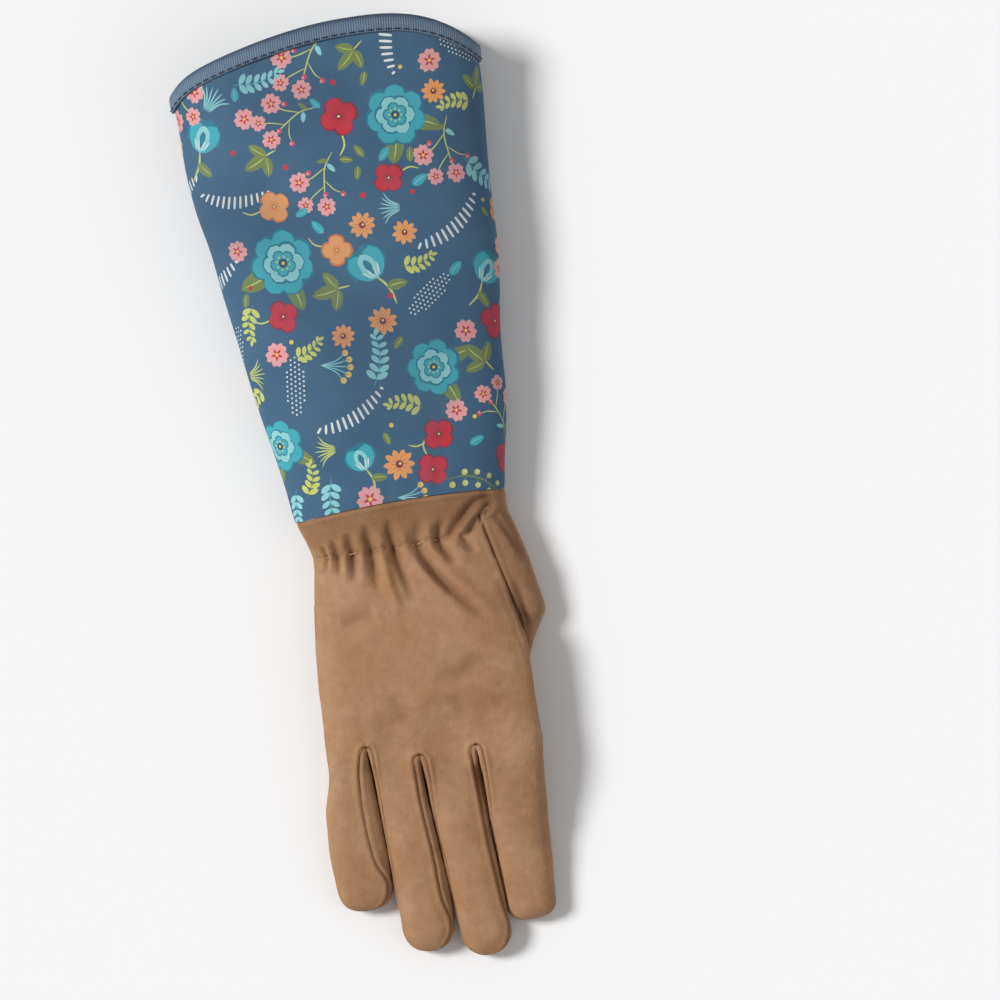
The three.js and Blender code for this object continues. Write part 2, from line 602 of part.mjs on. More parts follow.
// A point of the hand's back (upper) or palm. r runs from the wrist seam to the forks.
function handPoint(c, r, upper, inset) {
  const f = Math.min(Math.floor(c), FINGERS.length - 1);
  const u = c - f;
  const start = -SEAM_GAP / 2;
  const farY = rootY(f, u) + inset * (r === 1 ? 1 : 0);
  const sign = upper ? 1 : -1;
  const roughAt = (r * -farY) / HAND_LENGTH;
  const section = handSection(roughAt);
  const angle = handAngle(section, c) * sign;
  const { across } = onSection(angle, section.square);
  const y = mix(wristSeam(across) + start, farY, r);
  const point = sectionPoint(section, angle, y, inset);
  const edges = [fingerEdge(f, 0, -1, upper), fingerEdge(f, 0, 1, upper)];
  const rootAngle = mix(angleAt(edges[0], FINGER_SQUARE), angleAt(edges[1], FINGER_SQUARE), u);
  const lobe = fingerPoint(f, 0, 0, rootAngle * sign, u, inset);
  const blend = ease((r - 0.78) / 0.22);
  point.lerp(new THREE.Vector3(lobe.x, y, lobe.z), blend);
  if (upper) point.z += gather(roughAt, c) - handDent(point.x, y) * ease((1 - r) / 0.1);
  return point;
}

// Leaves half the seam's gap along an edge that is sewn to another piece
function openSeam(point, up) {
  point.z += (up ? 1 : -1) * (SEAM_GAP / 2 + 0.02);
  return point;
}

// The back or the palm: a grid over the hand, with a narrower grid running on down each finger
function handPanel(upper) {
  const wall = new Wall();
  const total = COLUMNS * FINGERS.length;
  wall.grid(HAND_STEPS.map((r) => Array.from({ length: total + 1 }, (_, i) => wall.corner(
    r === 1 ? `root ${i}` : `${r} ${i}`,
    (inset) => {
      const point = handPoint(i / COLUMNS, r, upper, inset);
      const sewn = i === 0 || i === total || (r === 1 && i % COLUMNS === 0);
      return sewn ? openSeam(point, upper) : point;
    },
    LEATHER_WALL,
  ))));
  FINGERS.forEach((finger, f) => {
    const rings = [
      ...FINGER_STEPS.map((at) => ({ at, tip: 0 })),
      ...TIP_ANGLES.map((tip) => ({ at: 1, tip })),
    ];
    wall.grid(rings.map(({ at, tip }) => Array.from({ length: COLUMNS + 1 }, (_, k) => {
      const key = at === 0 ? `root ${f * COLUMNS + k}` : `${f} ${at} ${tip} ${k}`;
      return wall.corner(key, (inset) => {
        const edges = [fingerEdge(f, at, -1, upper), fingerEdge(f, at, 1, upper)];
        const angle = mix(angleAt(edges[0], FINGER_SQUARE), angleAt(edges[1], FINGER_SQUARE),
          k / COLUMNS) * (upper ? 1 : -1);
        const point = fingerPoint(f, at, tip, angle, k / COLUMNS, inset);
        return k === 0 || k === COLUMNS || tip === 90 ? openSeam(point, upper) : point;
      }, LEATHER_WALL);
    })));
  });
  return wall.geometry();
}

// The gusset between two fingers runs up one finger's side, round the fork and down the next
function gusset(fork) {
  const wall = new Wall();
  const stops = [
    ...FINGER_STEPS.map((at) => ({ at, tip: 0 })),
    ...TIP_ANGLES.slice(0, 2).map((tip) => ({ at: 1, tip })),
  ];
  const path = [
    ...stops.map((stop) => ({ ...stop, f: fork, side: 1 })).reverse(),
    ...stops.slice(1).map((stop) => ({ ...stop, f: fork + 1, side: -1 })),
  ];
  wall.grid(path.map(({ at, tip, f, side }) => Array.from({ length: GUSSET_COLUMNS + 1 }, (_, k) => {
    const share = k / GUSSET_COLUMNS;
    return wall.corner(`${at} ${tip} ${at === 0 ? 0 : f} ${k}`, (inset) => {
      const high = angleAt(fingerEdge(f, at, side, true), FINGER_SQUARE);
      const low = -angleAt(fingerEdge(f, at, side, false), FINGER_SQUARE);
      const angle = side > 0 ? mix(high, low, share) : mix(high, 2 * Math.PI + low, share);
      const point = fingerPoint(f, at, tip, angle, side > 0 ? 1 : 0, inset);
      if (k === 0) return openSeam(point, false);
      return k === GUSSET_COLUMNS ? openSeam(point, true) : point;
    }, LEATHER_WALL);
  })));
  return wall.geometry();
}

// Thumb

function thumbPoint(at, tip, angle, inset) {
  const start = -THUMB_ROOT * HAND_LENGTH;
  const tipReach = THUMB_TIP_LENGTH * THUMB_WIDTH;
  const turned = Math.max(Math.cos(radians(tip)), 0) ** 0.9;
  const y = start - at * (THUMB_LENGTH - tipReach) - (tipReach - inset) * Math.sin(radians(tip))
    + (at === 0 ? inset : 0);
  const [top, low] = [read(THUMB_ROWS, 'top', at), Math.max(read(THUMB_ROWS, 'low', at), 0)];
  const side = mix(low, top, 0.45) * THUMB_HEIGHT;
  const closed = mix(0.35, 1, turned);
  return sectionPoint({
    x: read(THUMB_ROWS, 'x', at) * HAND_WIDTH,
    half: Math.max(read(THUMB_ROWS, 'half', at) * THUMB_WIDTH * turned, inset),
    side: () => side,
    top: () => mix(side, top * THUMB_HEIGHT, closed),
    bottom: () => mix(side, low * THUMB_HEIGHT, closed),
    square: FINGER_SQUARE,
  }, angle, y, inset);
}

const THUMB_RINGS = [
  ...THUMB_STEPS.map((at) => ({ at, tip: 0 })),
  ...TIP_ANGLES.map((tip) => ({ at: 1, tip })),
];

// One of the two pieces of the thumb: its outer half (out = 1) or its inner half (out = -1)
function thumbPiece(out) {
  const wall = new Wall();
  wall.grid(THUMB_RINGS.map(({ at, tip }) => Array.from({ length: THUMB_COLUMNS + 1 }, (_, k) => {
    const angle = Math.PI * (k / THUMB_COLUMNS - out / 2);
    return wall.corner(`${at} ${tip} ${k}`, (inset) => {
      const point = thumbPoint(at, tip, angle, inset);
      if (k === 0 || k === THUMB_COLUMNS || tip === 90) point.x += (out * SEAM_GAP) / 2;
      return point;
    }, LEATHER_WALL);
  })));
  return wall.geometry();
}

// The thumb as one body, sunk by inset: at the wall's depth it is the space inside the thumb
function thumbBody(inset) {
  const around = 2 * THUMB_COLUMNS;
  return closedTube(THUMB_RINGS.map(({ at, tip }) => Array.from({ length: around }, (_, k) => {
    const angle = (k / around) * 2 * Math.PI;
    return thumbPoint(at, Math.min(tip, 85), angle, inset);
  })));
}

// The whole hand above the forks as one body, grown by a gap all round
function handBody(grow) {
  const total = COLUMNS * FINGERS.length;
  const half = (r, upper) => Array.from({ length: total + 1 }, (_, i) => handPoint(
    i / COLUMNS, r, upper, -grow));
  return closedTube(HAND_STEPS.map((r) => [
    ...half(r, true), ...half(r, false).reverse().slice(1, -1),
  ]));
}

// Patch

function notch(outline) {
  const shape = new THREE.Shape(outline.map((p) => new THREE.Vector2(
    p.x * HAND_WIDTH, -p.at * HAND_LENGTH)));
  const height = HAND_HEIGHT + THUMB_HEIGHT;
  const geometry = new THREE.ExtrudeGeometry(shape, { depth: height, bevelEnabled: false });
  geometry.translate(0, 0, -height / 2);
  return mergedCopy(geometry);
}

// A geometry reduced to its positions, with equal corners merged
function mergedCopy(geometry) {
  const position = geometry.getAttribute('position');
  const index = new Map();
  const points = [];
  const order = [];
  for (let i = 0; i < position.count; i += 1) {
    const p = new THREE.Vector3().fromBufferAttribute(position, i);
    const key = p.toArray().map((v) => v.toFixed(4)).join();
    if (!index.has(key)) {
      index.set(key, points.length);
      points.push(p);
    }
    order.push(index.get(key));
  }
  const merged = new THREE.BufferGeometry();
  merged.setAttribute('position', new THREE.Float32BufferAttribute(
    points.flatMap((p) => p.toArray()), 3));
  merged.setIndex(geometry.getIndex()
    ? Array.from(geometry.getIndex().array, (i) => order[i]) : order);
  return merged;
}

function palmPatch() {
  const wall = new Wall();
  const total = COLUMNS * FINGERS.length;
  const far = -SEAM_GAP - PATCH_WALL;
  const rows = HAND_STEPS.filter((r) => r >= PATCH_REACH[0] && r <= PATCH_REACH[1]);
  const columns = Array.from({ length: total + 1 - 2 * PATCH_MARGIN }, (_, i) => i + PATCH_MARGIN);
  wall.grid(rows.map((r) => columns.map((i) => wall.corner(
    `${r} ${i}`,
    (inset) => handPoint(i / COLUMNS, r, false, far + inset),
    PATCH_WALL,
  ))));
  return toGeometry(toSolid(wall.geometry()).subtract(toSolid(notch(WRIST_NOTCH)))
    .subtract(toSolid(notch(SIDE_NOTCH))).subtract(toSolid(thumbBody(-SEAM_GAP))));
}

// Assembly

function leatherPieces() {
  const hollow = toSolid(thumbBody(LEATHER_WALL));
  const body = toSolid(handBody(SEAM_GAP));
  return {
    hand_back: toGeometry(toSolid(handPanel(true)).subtract(hollow)),
    hand_palm: toGeometry(toSolid(handPanel(false)).subtract(hollow)),
    gusset_little_ring: gusset(0),
    gusset_ring_middle: gusset(1),
    gusset_middle_index: gusset(2),
    thumb_outer: toGeometry(toSolid(thumbPiece(1)).subtract(body)),
    thumb_inner: toGeometry(toSolid(thumbPiece(-1)).subtract(body)),
  };
}

function piece(name, geometry, finish) {
  const mesh = new THREE.Mesh(geometry, new THREE.MeshStandardMaterial(finish));
  mesh.name = name;
  return mesh;
}

const gauntlet = new THREE.Group();
gauntlet.add(piece('cuff_sleeve', cuffSleeve(), PRINTED_CLOTH));
gauntlet.add(piece('rim_binding', rimBinding(), WOVEN_TAPE));
for (const [name, geometry] of Object.entries(leatherPieces())) {
  gauntlet.add(piece(name, geometry, LEATHER));
}
gauntlet.add(piece('palm_patch', palmPatch(), PATCH_LEATHER));

// Stands the whole on the floor, centred over the origin
const box = new THREE.Box3().setFromObject(gauntlet);
gauntlet.position.set(-(box.min.x + box.max.x) / 2, -(box.min.y + box.max.y) / 2, -box.min.z);
gauntlet.updateMatrixWorld(true);

export default gauntlet;
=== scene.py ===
"""A right-hand rose pruning gauntlet lying palm down: long printed cloth cuff, ribbed rim tape
and a sewn suede hand. Lengths are millimetres in the part's working axes (+X thumb side,
+Y to the rim, +Z up, wrist seam at Y = 0) until place() turns them into the frame's metres."""

import math

import bpy
import numpy as np
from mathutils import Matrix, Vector, noise
from mathutils.bvhtree import BVHTree
from mathutils.geometry import delaunay_2d_cdt
from mathutils.kdtree import KDTree


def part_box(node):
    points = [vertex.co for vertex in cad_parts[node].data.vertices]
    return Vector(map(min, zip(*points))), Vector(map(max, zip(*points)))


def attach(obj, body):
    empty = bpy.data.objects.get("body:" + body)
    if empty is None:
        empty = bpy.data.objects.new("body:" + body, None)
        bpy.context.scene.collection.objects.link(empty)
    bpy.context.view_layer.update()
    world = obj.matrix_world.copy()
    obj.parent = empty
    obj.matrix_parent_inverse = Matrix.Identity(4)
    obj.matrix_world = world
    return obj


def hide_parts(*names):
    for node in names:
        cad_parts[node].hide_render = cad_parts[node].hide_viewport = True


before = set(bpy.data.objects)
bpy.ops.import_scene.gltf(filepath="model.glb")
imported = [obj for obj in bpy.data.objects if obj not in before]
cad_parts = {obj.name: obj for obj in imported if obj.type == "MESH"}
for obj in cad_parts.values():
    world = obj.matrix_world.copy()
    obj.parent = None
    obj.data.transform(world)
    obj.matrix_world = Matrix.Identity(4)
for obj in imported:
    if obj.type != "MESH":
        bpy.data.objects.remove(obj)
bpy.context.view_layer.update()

MM = 0.001

# Sizes of the sewn shape, the same as the part's own

CUFF_LENGTH = 222.0
RIM_WIDTH = 143.0
RIM_HEIGHT = 44.0
RIM_DROP = 21.0
WRIST_WIDTH = 96.5
WRIST_HEIGHT = 28.0
WRIST_ARCH = 2.5
HAND_LENGTH = 112.0
HAND_WIDTH = 98.0
HAND_HEIGHT = 24.0
FINGER_WIDTH = 25.0
FINGER_HEIGHT = 15.0
MIDDLE_LENGTH = 97.0
THUMB_LENGTH = 126.0
THUMB_WIDTH = 27.0
THUMB_HEIGHT = 12.5
LEATHER_WALL = 1.3
CLOTH_WALL = 1.6
BINDING_WALL = 1.0
BINDING_WIDTH = 7.0
PATCH_WALL = 1.0
SEAM_GAP = 0.3
FINGER_GAP = 0.36
UNDERLAY = SEAM_GAP + max(PATCH_WALL, BINDING_WALL)
CUFF_SQUARE = 2.35
HAND_SQUARE = 2.7
FINGER_SQUARE = 2.5
ROOT_BLEND = 0.18
RESTING = 1.04
FORK_EDGE = 0.89
SLIT_ROUND = 0.04
THUMB_ROOT = 0.06
THUMB_TIP_LENGTH = 0.5
# The least height of any point above the floor
FLOOR_CLEAR = 0.02


def table(columns, rows):
    """A table of stations, one array a column."""
    return dict(zip(columns.split(), np.array(rows, float).T))


CUFF_ROWS = table("at rim sway", [
    (0.0, 0.0, -0.003), (0.05, 0.09, 0.0), (0.14, 0.24, 0.003), (0.36, 0.51, 0.0),
    (0.5, 0.69, -0.008), (0.68, 0.85, -0.013), (0.86, 0.95, -0.012), (1.0, 1.0, 0.001)])
HAND_ROWS = table("at hand left right top lift", [
    (0.0, 0.0, -0.503, 0.497, 1.0, 0.0), (0.08, 0.4, -0.466, 0.486, 0.94, 0.05),
    (0.16, 0.8, -0.443, 0.472, 0.98, 0.12), (0.27, 1.0, -0.459, 0.463, 1.0, 0.25),
    (0.45, 1.0, -0.49, 0.464, 1.04, 0.62), (0.62, 1.0, -0.512, 0.474, 1.04, 1.08),
    (0.8, 1.0, -0.522, 0.471, 1.02, 1.14), (1.0, 1.0, -0.538, 0.473, 0.96, 1.14)])
FORKS = [
    dict(x=-0.347, past=-0.055, line=table("at x", [
        (-0.06, -0.347), (0.16, -0.337), (0.34, -0.332), (0.5, -0.329), (0.66, -0.327),
        (1.0, -0.325)])),
    dict(x=-0.107, past=0.012, line=table("at x", [
        (0.014, -0.107), (0.1, -0.102), (0.3, -0.1), (0.5, -0.088), (0.65, -0.075),
        (1.0, -0.069)])),
    dict(x=0.158, past=0.008, line=table("at x", [
        (0.01, 0.158), (0.1, 0.163), (0.3, 0.164), (0.5, 0.163), (0.65, 0.169),
        (1.0, 0.181)])),
]
FINGER_COLUMNS = "at x half left right top lift"
FINGERS = [
    # The little finger
    dict(length=68.0, square=2.3, tip=0.46, rows=table(FINGER_COLUMNS, [
        (0.0, -0.445, 0.4, 0, 0.1, 1.36, 0.0), (0.2, -0.454, 0.45, 0, 0.24, 1.14, 0.0),
        (0.5, -0.461, 0.5, 0, 0.3, 1.02, 0.0), (0.8, -0.463, 0.52, 0, 0.27, 0.96, 0.0),
        (1.0, -0.462, 0.5, 0, 0.14, 0.9, 0.0)])),
    # The ring finger
    dict(length=91.0, square=2.1, tip=0.5, rows=table(FINGER_COLUMNS, [
        (0.0, -0.226, 0.45, 0.1, 0.14, 1.38, 0.0), (0.2, -0.218, 0.46, 0.06, 0.15, 1.18, 0.0),
        (0.5, -0.21, 0.48, 0.02, 0.14, 1.05, 0.0), (0.8, -0.2, 0.49, 0.02, 0.18, 0.98, 0.0),
        (1.0, -0.2, 0.47, 0.02, 0.12, 0.9, 0.0)])),
    # The middle finger
    dict(length=97.0, square=2.1, tip=0.5, rows=table(FINGER_COLUMNS, [
        (0.0, 0.03, 0.5, 0.1, 0.12, 1.44, 0.36), (0.2, 0.032, 0.51, 0.08, 0.11, 1.24, 0.14),
        (0.5, 0.04, 0.5, 0.02, 0.09, 1.08, 0.0), (0.8, 0.053, 0.48, 0.02, 0.08, 0.98, 0.0),
        (1.0, 0.062, 0.47, 0.02, 0.05, 0.9, 0.0)])),
    # The index finger
    dict(length=84.0, square=3.0, tip=0.4, rows=table(FINGER_COLUMNS, [
        (0.0, 0.316, 0.6, 0.1, 0, 1.84, 0.96), (0.14, 0.312, 0.57, 0.09, 0, 1.82, 0.9),
        (0.28, 0.308, 0.545, 0.08, 0, 1.68, 0.68), (0.45, 0.304, 0.52, 0.05, 0, 1.44, 0.33),
        (0.62, 0.3, 0.5, 0.02, 0, 1.2, 0.07), (0.8, 0.295, 0.485, 0.02, 0, 1.02, 0.0),
        (1.0, 0.29, 0.45, 0.02, 0, 0.9, 0.0)])),
]
THUMB_ROWS = table("at x half top low", [
    (0.0, 0.34, 0.5, 1.75, 0.2), (0.12, 0.375, 0.53, 1.78, 0.1), (0.26, 0.408, 0.53, 1.7, 0.04),
    (0.36, 0.427, 0.53, 1.56, 0.0), (0.45, 0.44, 0.525, 1.36, 0.0),
    (0.5, 0.415, 0.505, 1.22, 0.0), (0.56, 0.376, 0.495, 1.1, 0.0),
    (0.63, 0.342, 0.49, 1.02, 0.0), (0.73, 0.314, 0.48, 1.0, 0.0),
    (0.87, 0.3, 0.46, 1.0, 0.0), (1.0, 0.3, 0.44, 0.94, 0.0)])
WRIST_NOTCH = np.array([
    (0.1, 0.67), (0.01, 0.54), (-0.03, 0.44), (-0.1, 0.365), (-0.19, 0.33), (-0.7, 0.31),
    (-0.7, 0.0), (0.4, 0.0), (0.26, 0.14), (0.13, 0.23), (0.085, 0.34), (0.075, 0.52)])
SIDE_NOTCH = np.array([
    (-0.7, 0.42), (-0.12, 0.645), (-0.05, 0.74), (0.075, 0.84), (0.0, 0.885), (-0.7, 0.9)])
NOTCH_SCALE = np.array([HAND_WIDTH, -HAND_LENGTH])
CUFF_STEPS = [0, 0.06, 0.14, 0.26, 0.4, 0.55, 0.7, 0.84, 0.94, 1]


# Small tools

def mix(a, b, t):
    return a + (b - a) * t


def ease(t):
    t = np.clip(t, 0, 1)
    return t * t * (3 - 2 * t)


def bell(off, width):
    """A swell of height 1 that dies away over a width."""
    return np.exp(-((off / width) ** 2))


def ray(radius, angle):
    """The place at a radius and an angle about the middle."""
    return radius * math.cos(angle), radius * math.sin(angle)


def spun(turn):
    """The matrix that turns rows of flat places by an angle."""
    c, s = math.cos(turn), math.sin(turn)
    return np.array([[c, s], [-s, c]])


def unit(rows):
    """Each row scaled to a length of 1."""
    return rows / np.maximum(np.linalg.norm(rows, axis=1, keepdims=True), 1e-9)


def lengths_along(path):
    """How far along a path each of its points lies."""
    return np.concatenate([[0], np.cumsum(np.linalg.norm(np.diff(path, axis=0), axis=1))])


def read(rows, column, at):
    """One column of a table at any station, on a smooth curve through its rows."""
    ats, values = rows["at"], rows[column]
    place = np.clip(at, ats[0], ats[-1])
    i = np.clip(np.searchsorted(ats, place, side="left") - 1, 0, len(ats) - 2)
    near = np.maximum(np.arange(len(ats)) - 1, 0)
    far = np.minimum(np.arange(len(ats)) + 1, len(ats) - 1)
    slope = (values[far] - values[near]) / (ats[far] - ats[near])
    step = ats[i + 1] - ats[i]
    t = (place - ats[i]) / step
    return ((2 * t**3 - 3 * t**2 + 1) * values[i] + (t**3 - 2 * t**2 + t) * step * slope[i]
            + (3 * t**2 - 2 * t**3) * values[i + 1] + (t**3 - t**2) * step * slope[i + 1])


def on_section(angle, square):
    """How far across and how far up an angle lies on a boxy oval, each from -1 to 1."""
    c, s = np.cos(angle), np.sin(angle)
    return np.sign(c) * np.abs(c) ** (2 / square), np.sign(s) * np.abs(s) ** (2 / square)


def angle_at(across, square):
    """The upper half's angle at a share of the half width."""
    across = np.clip(across, -1, 1)
    return np.arccos(np.sign(across) * np.abs(across) ** (square / 2))


def section_point(section, angle, y, inset):
    """A point of a closed section, sunk below its outer face by inset."""
    across, up = on_section(angle, section["square"])
    side = section["side"](across)
    rise = np.where(
        up >= 0,
        up * (section["top"](across) - inset - side),
        np.maximum(up * RESTING, -1) * (side - section["bottom"](across) - inset))
    x = section["x"] + (section["half"] - inset) * across
    return np.stack(np.broadcast_arrays(x, y + 0 * x, side + rise), -1)


# Cuff surface

def rim_drop(across):
    """How far the rim has fallen from its crest."""
    crest = 0.11
    right = RIM_DROP * (np.maximum(across - crest, 0) / (1 - crest)) ** 3
    share = np.maximum(crest - across, 0) / (1 + crest)
    return np.where(across > crest, right, RIM_DROP * (0.74 * share**1.75 + 0.26 * share**14))


def wrist_seam(across):
    return WRIST_ARCH * (1 - across**2)


def cuff_section(y):
    at = np.clip(y / CUFF_LENGTH, 0, 1)
    rim = read(CUFF_ROWS, "rim", at)
    height = mix(WRIST_HEIGHT, RIM_HEIGHT, rim)
    return dict(
        x=read(CUFF_ROWS, "sway", at) * RIM_WIDTH,
        half=mix(WRIST_WIDTH, RIM_WIDTH, rim) / 2,
        side=lambda across: UNDERLAY + 0.4 * height,
        top=lambda across: UNDERLAY + height,
        bottom=lambda across: UNDERLAY,
        square=CUFF_SQUARE)


# Soft dents and swells of the cuff: at along its length, turn in degrees round it from the
# thumb side, deep in millimetres (minus swells), long and wide as the spread
CUFF_DENTS = [
    (0.24, 62, 2.2, 0.1, 24), (0.52, 118, 1.8, 0.12, 26), (0.58, 168, 1.3, 0.05, 18),
    (0.8, 70, 1.5, 0.1, 30),
]


def cuff_relief(y, turn, share):
    """How far the cloth has sunk below its plain taper at a place."""
    deep = 0 * y
    for at, middle, depth, long, wide in CUFF_DENTS:
        deep = deep + depth * np.exp(
            -(((y / CUFF_LENGTH - at) / long) ** 2) - ((turn - middle) / wide) ** 2)
    return deep * ease((1 - share) / 0.12) * ease(share / 0.1)


def cuff_y(angle, share):
    """How far from the wrist a point of the cuff lies."""
    across, _ = on_section(angle, CUFF_SQUARE)
    return mix(wrist_seam(across) + SEAM_GAP / 2, CUFF_LENGTH - rim_drop(across), share)


def cuff_point(angle, share, inset, beyond=0.0):
    """A point of the cuff: angle round it, share from wrist seam to rim."""
    y = cuff_y(angle, share) + beyond
    turn = np.degrees(angle) % 360
    return section_point(cuff_section(y), angle, y, inset + cuff_relief(y, turn, share))


# Hand surface

def hand_section(at):
    hand = read(HAND_ROWS, "hand", at)
    width = mix(WRIST_WIDTH, HAND_WIDTH, hand)
    height = mix(WRIST_HEIGHT, HAND_HEIGHT, hand) * read(HAND_ROWS, "top", at)
    lift = read(HAND_ROWS, "lift", at) * THUMB_HEIGHT
    left = read(HAND_ROWS, "left", at) * width
    right = read(HAND_ROWS, "right", at) * width
    return dict(
        x=(left + right) / 2,
        half=(right - left) / 2,
        side=lambda across: UNDERLAY + 0.24 * height + lift * ease((across + 0.7) / 1.4)
        + 0.16 * height * (1 - hand),
        top=lambda across: UNDERLAY + height + 0.32 * lift * ease((across + 0.8) / 1.6),
        bottom=lambda across: UNDERLAY + lift * ease((across + 0.06) / 0.4),
        square=mix(CUFF_SQUARE, HAND_SQUARE, hand))


def finger_reach(f, at):
    return -(HAND_LENGTH + at * FINGERS[f]["length"])


def gap_line(fork, y):
    return read(FORKS[fork]["line"], "x", (-y - HAND_LENGTH) / MIDDLE_LENGTH) * HAND_WIDTH


def fork_y(fork):
    return -HAND_LENGTH * (1 + FORKS[fork]["past"])


def outer_edge(side):
    return HAND_ROWS[side][-1] * HAND_WIDTH


def root_y(f, u):
    left = fork_y(f - 1) if f > 0 else -HAND_LENGTH
    right = fork_y(f) if f < 3 else -HAND_LENGTH
    return mix(left, right, u)


def fork_height(fork, column):
    near, far = FINGERS[fork]["rows"][column][0], FINGERS[fork + 1]["rows"][column][0]
    return (near + far) / 2 * FINGER_HEIGHT


def finger_section(f, at):
    rows = FINGERS[f]["rows"]
    root = ease(at / ROOT_BLEND)
    left = FORKS[f - 1]["x"] * HAND_WIDTH if f > 0 else outer_edge("left")
    right = FORKS[f]["x"] * HAND_WIDTH if f < 3 else outer_edge("right")
    edge_left, edge_right = -FORK_EDGE if f > 0 else -1, FORK_EDGE if f < 3 else 1
    root_half = (right - left) / (edge_right - edge_left)

    def height(column):
        own = read(rows, column, at) * FINGER_HEIGHT

        def at_place(across):
            weight = ease(np.abs(across) / FORK_EDGE) * (1 - root)
            result = own + 0 * across
            if f > 0:
                result = np.where(
                    across < 0, mix(own, fork_height(f - 1, column), weight), result)
            if f < 3:
                result = np.where(
                    across >= 0, mix(own, fork_height(f, column), weight), result)
            return result
        return at_place

    top, lift = height("top"), height("lift")

    def bottom(across):
        return UNDERLAY * (1 - at) + lift(across)

    run = ease(at / (0.42 if f == 0 else ROOT_BLEND))
    return dict(
        x=mix(left - root_half * edge_left, read(rows, "x", at) * HAND_WIDTH, run),
        half=mix(root_half, read(rows, "half", at) * FINGER_WIDTH, run),
        side=lambda across: mix(bottom(across), top(across), 0.42),
        top=top, bottom=bottom, square=FINGER_SQUARE)


def finger_edge(f, at, side, upper):
    """How far across its section each edge of a finger's back or palm reaches."""
    fork = f - 1 if side < 0 else f
    if fork < 0 or fork >= len(FORKS):
        return side + 0 * at
    section = finger_section(f, at)
    opened = np.sqrt(1 - (1 - np.clip(at / SLIT_ROUND, 0, 1)) ** 2)
    own = read(FINGERS[f]["rows"], "left" if side < 0 else "right", at) if upper else 0.1
    inset = own * FINGER_WIDTH * opened * (1 - 0.3 * ease((at - 0.86) / 0.14))
    y = mix(fork_y(fork), finger_reach(f, 1), at)
    edge = gap_line(fork, y) - side * (inset + (FINGER_GAP / 2) * ease(at / 0.08))
    return np.clip((edge - section["x"]) / section["half"], -0.97, 0.97)


def finger_angle(f, at, u, upper):
    """The angle round a finger at a share between the edges of its back or palm."""
    edges = [angle_at(finger_edge(f, at, side, upper), FINGER_SQUARE) for side in (-1, 1)]
    return mix(edges[0], edges[1], u) * (1 if upper else -1)


def finger_point(f, at, tip, angle, u, inset):
    """A point of a finger: at runs from the fork to the tip's start, tip turns over the end."""
    finger = FINGERS[f]
    section = finger_section(f, at)
    tip_reach = finger["tip"] * FINGER_WIDTH
    turned = np.maximum(np.cos(np.radians(tip)), 0)
    narrowed = mix(0.05, 1, turned ** (2 / finger["square"]))
    flattened = turned**0.9
    straight = mix(root_y(f, u), finger_reach(f, 1) + tip_reach, at)
    y = (straight - (tip_reach - inset) * np.sin(np.radians(tip)) ** (2 / finger["square"])
         + inset * (at == 0))
    side = section["side"]
    across, _ = on_section(angle, FINGER_SQUARE)
    point = section_point(dict(
        x=section["x"], half=np.maximum(section["half"] * narrowed, inset + 0.6), side=side,
        top=lambda a: np.maximum(mix(side(a), section["top"](a), flattened), side(a) + inset),
        bottom=lambda a: np.minimum(
            mix(side(a), section["bottom"](a), flattened), side(a) - inset),
        square=FINGER_SQUARE), angle, y, inset)
    near_fork = (at == 0) & np.where(across < 0, f > 0, f < 3)
    gap = (FINGER_GAP / 2) * ease(at / 0.08)
    x = point[..., 0]
    pressed = x
    if f > 0:
        pressed = np.maximum(pressed, gap_line(f - 1, point[..., 1]) + gap + inset)
    if f < 3:
        pressed = np.minimum(pressed, gap_line(f, point[..., 1]) - gap - inset)
    point[..., 0] = np.where(near_fork, x + inset * across, pressed)
    return point


def hand_angle(section, f, u):
    """The angle on the hand's back at a share of the width above one finger."""
    def stop(k):
        if k == 0:
            return -1.0
        if k == 4:
            return 1.0
        return (FORKS[k - 1]["x"] * HAND_WIDTH - section["x"]) / section["half"]
    return mix(angle_at(stop(f), section["square"]), angle_at(stop(f + 1), section["square"]), u)


def hand_point(f, u, r, upper, inset):
    """A point of the back or the palm: r runs from the wrist seam to the forks."""
    far = root_y(f, u) + inset * (r == 1)
    rough = r * -far / HAND_LENGTH
    section = hand_section(rough)
    angle = hand_angle(section, f, u) * (1 if upper else -1)
    across, _ = on_section(angle, section["square"])
    y = mix(wrist_seam(across) - SEAM_GAP / 2, far, r)
    point = section_point(section, angle, y, inset)
    start = np.zeros(1)
    lobe = finger_point(f, start, start, finger_angle(f, start, u, upper), u, inset)
    blend = ease((r - 0.78) / 0.22)
    point[..., 0] = mix(point[..., 0], lobe[..., 0], blend)
    point[..., 2] = mix(point[..., 2], lobe[..., 2], blend)
    return point


def thumb_point(at, tip, angle, inset):
    tip_reach = THUMB_TIP_LENGTH * THUMB_WIDTH
    turned = np.maximum(np.cos(np.radians(tip)), 0) ** 0.9
    y = (-THUMB_ROOT * HAND_LENGTH - at * (THUMB_LENGTH - tip_reach)
         - (tip_reach - inset) * np.sin(np.radians(tip)) + inset * (at == 0))
    top = read(THUMB_ROWS, "top", at)
    low = np.maximum(read(THUMB_ROWS, "low", at), 0)
    side = mix(low, top, 0.45) * THUMB_HEIGHT
    closed = mix(0.35, 1, turned)
    return section_point(dict(
        x=read(THUMB_ROWS, "x", at) * HAND_WIDTH,
        half=np.maximum(read(THUMB_ROWS, "half", at) * THUMB_WIDTH * turned, inset),
        side=lambda a: side,
        top=lambda a: mix(side, top * THUMB_HEIGHT, closed),
        bottom=lambda a: mix(side, low * THUMB_HEIGHT, closed),
        square=FINGER_SQUARE), angle, y, inset)


# Placing in the frame

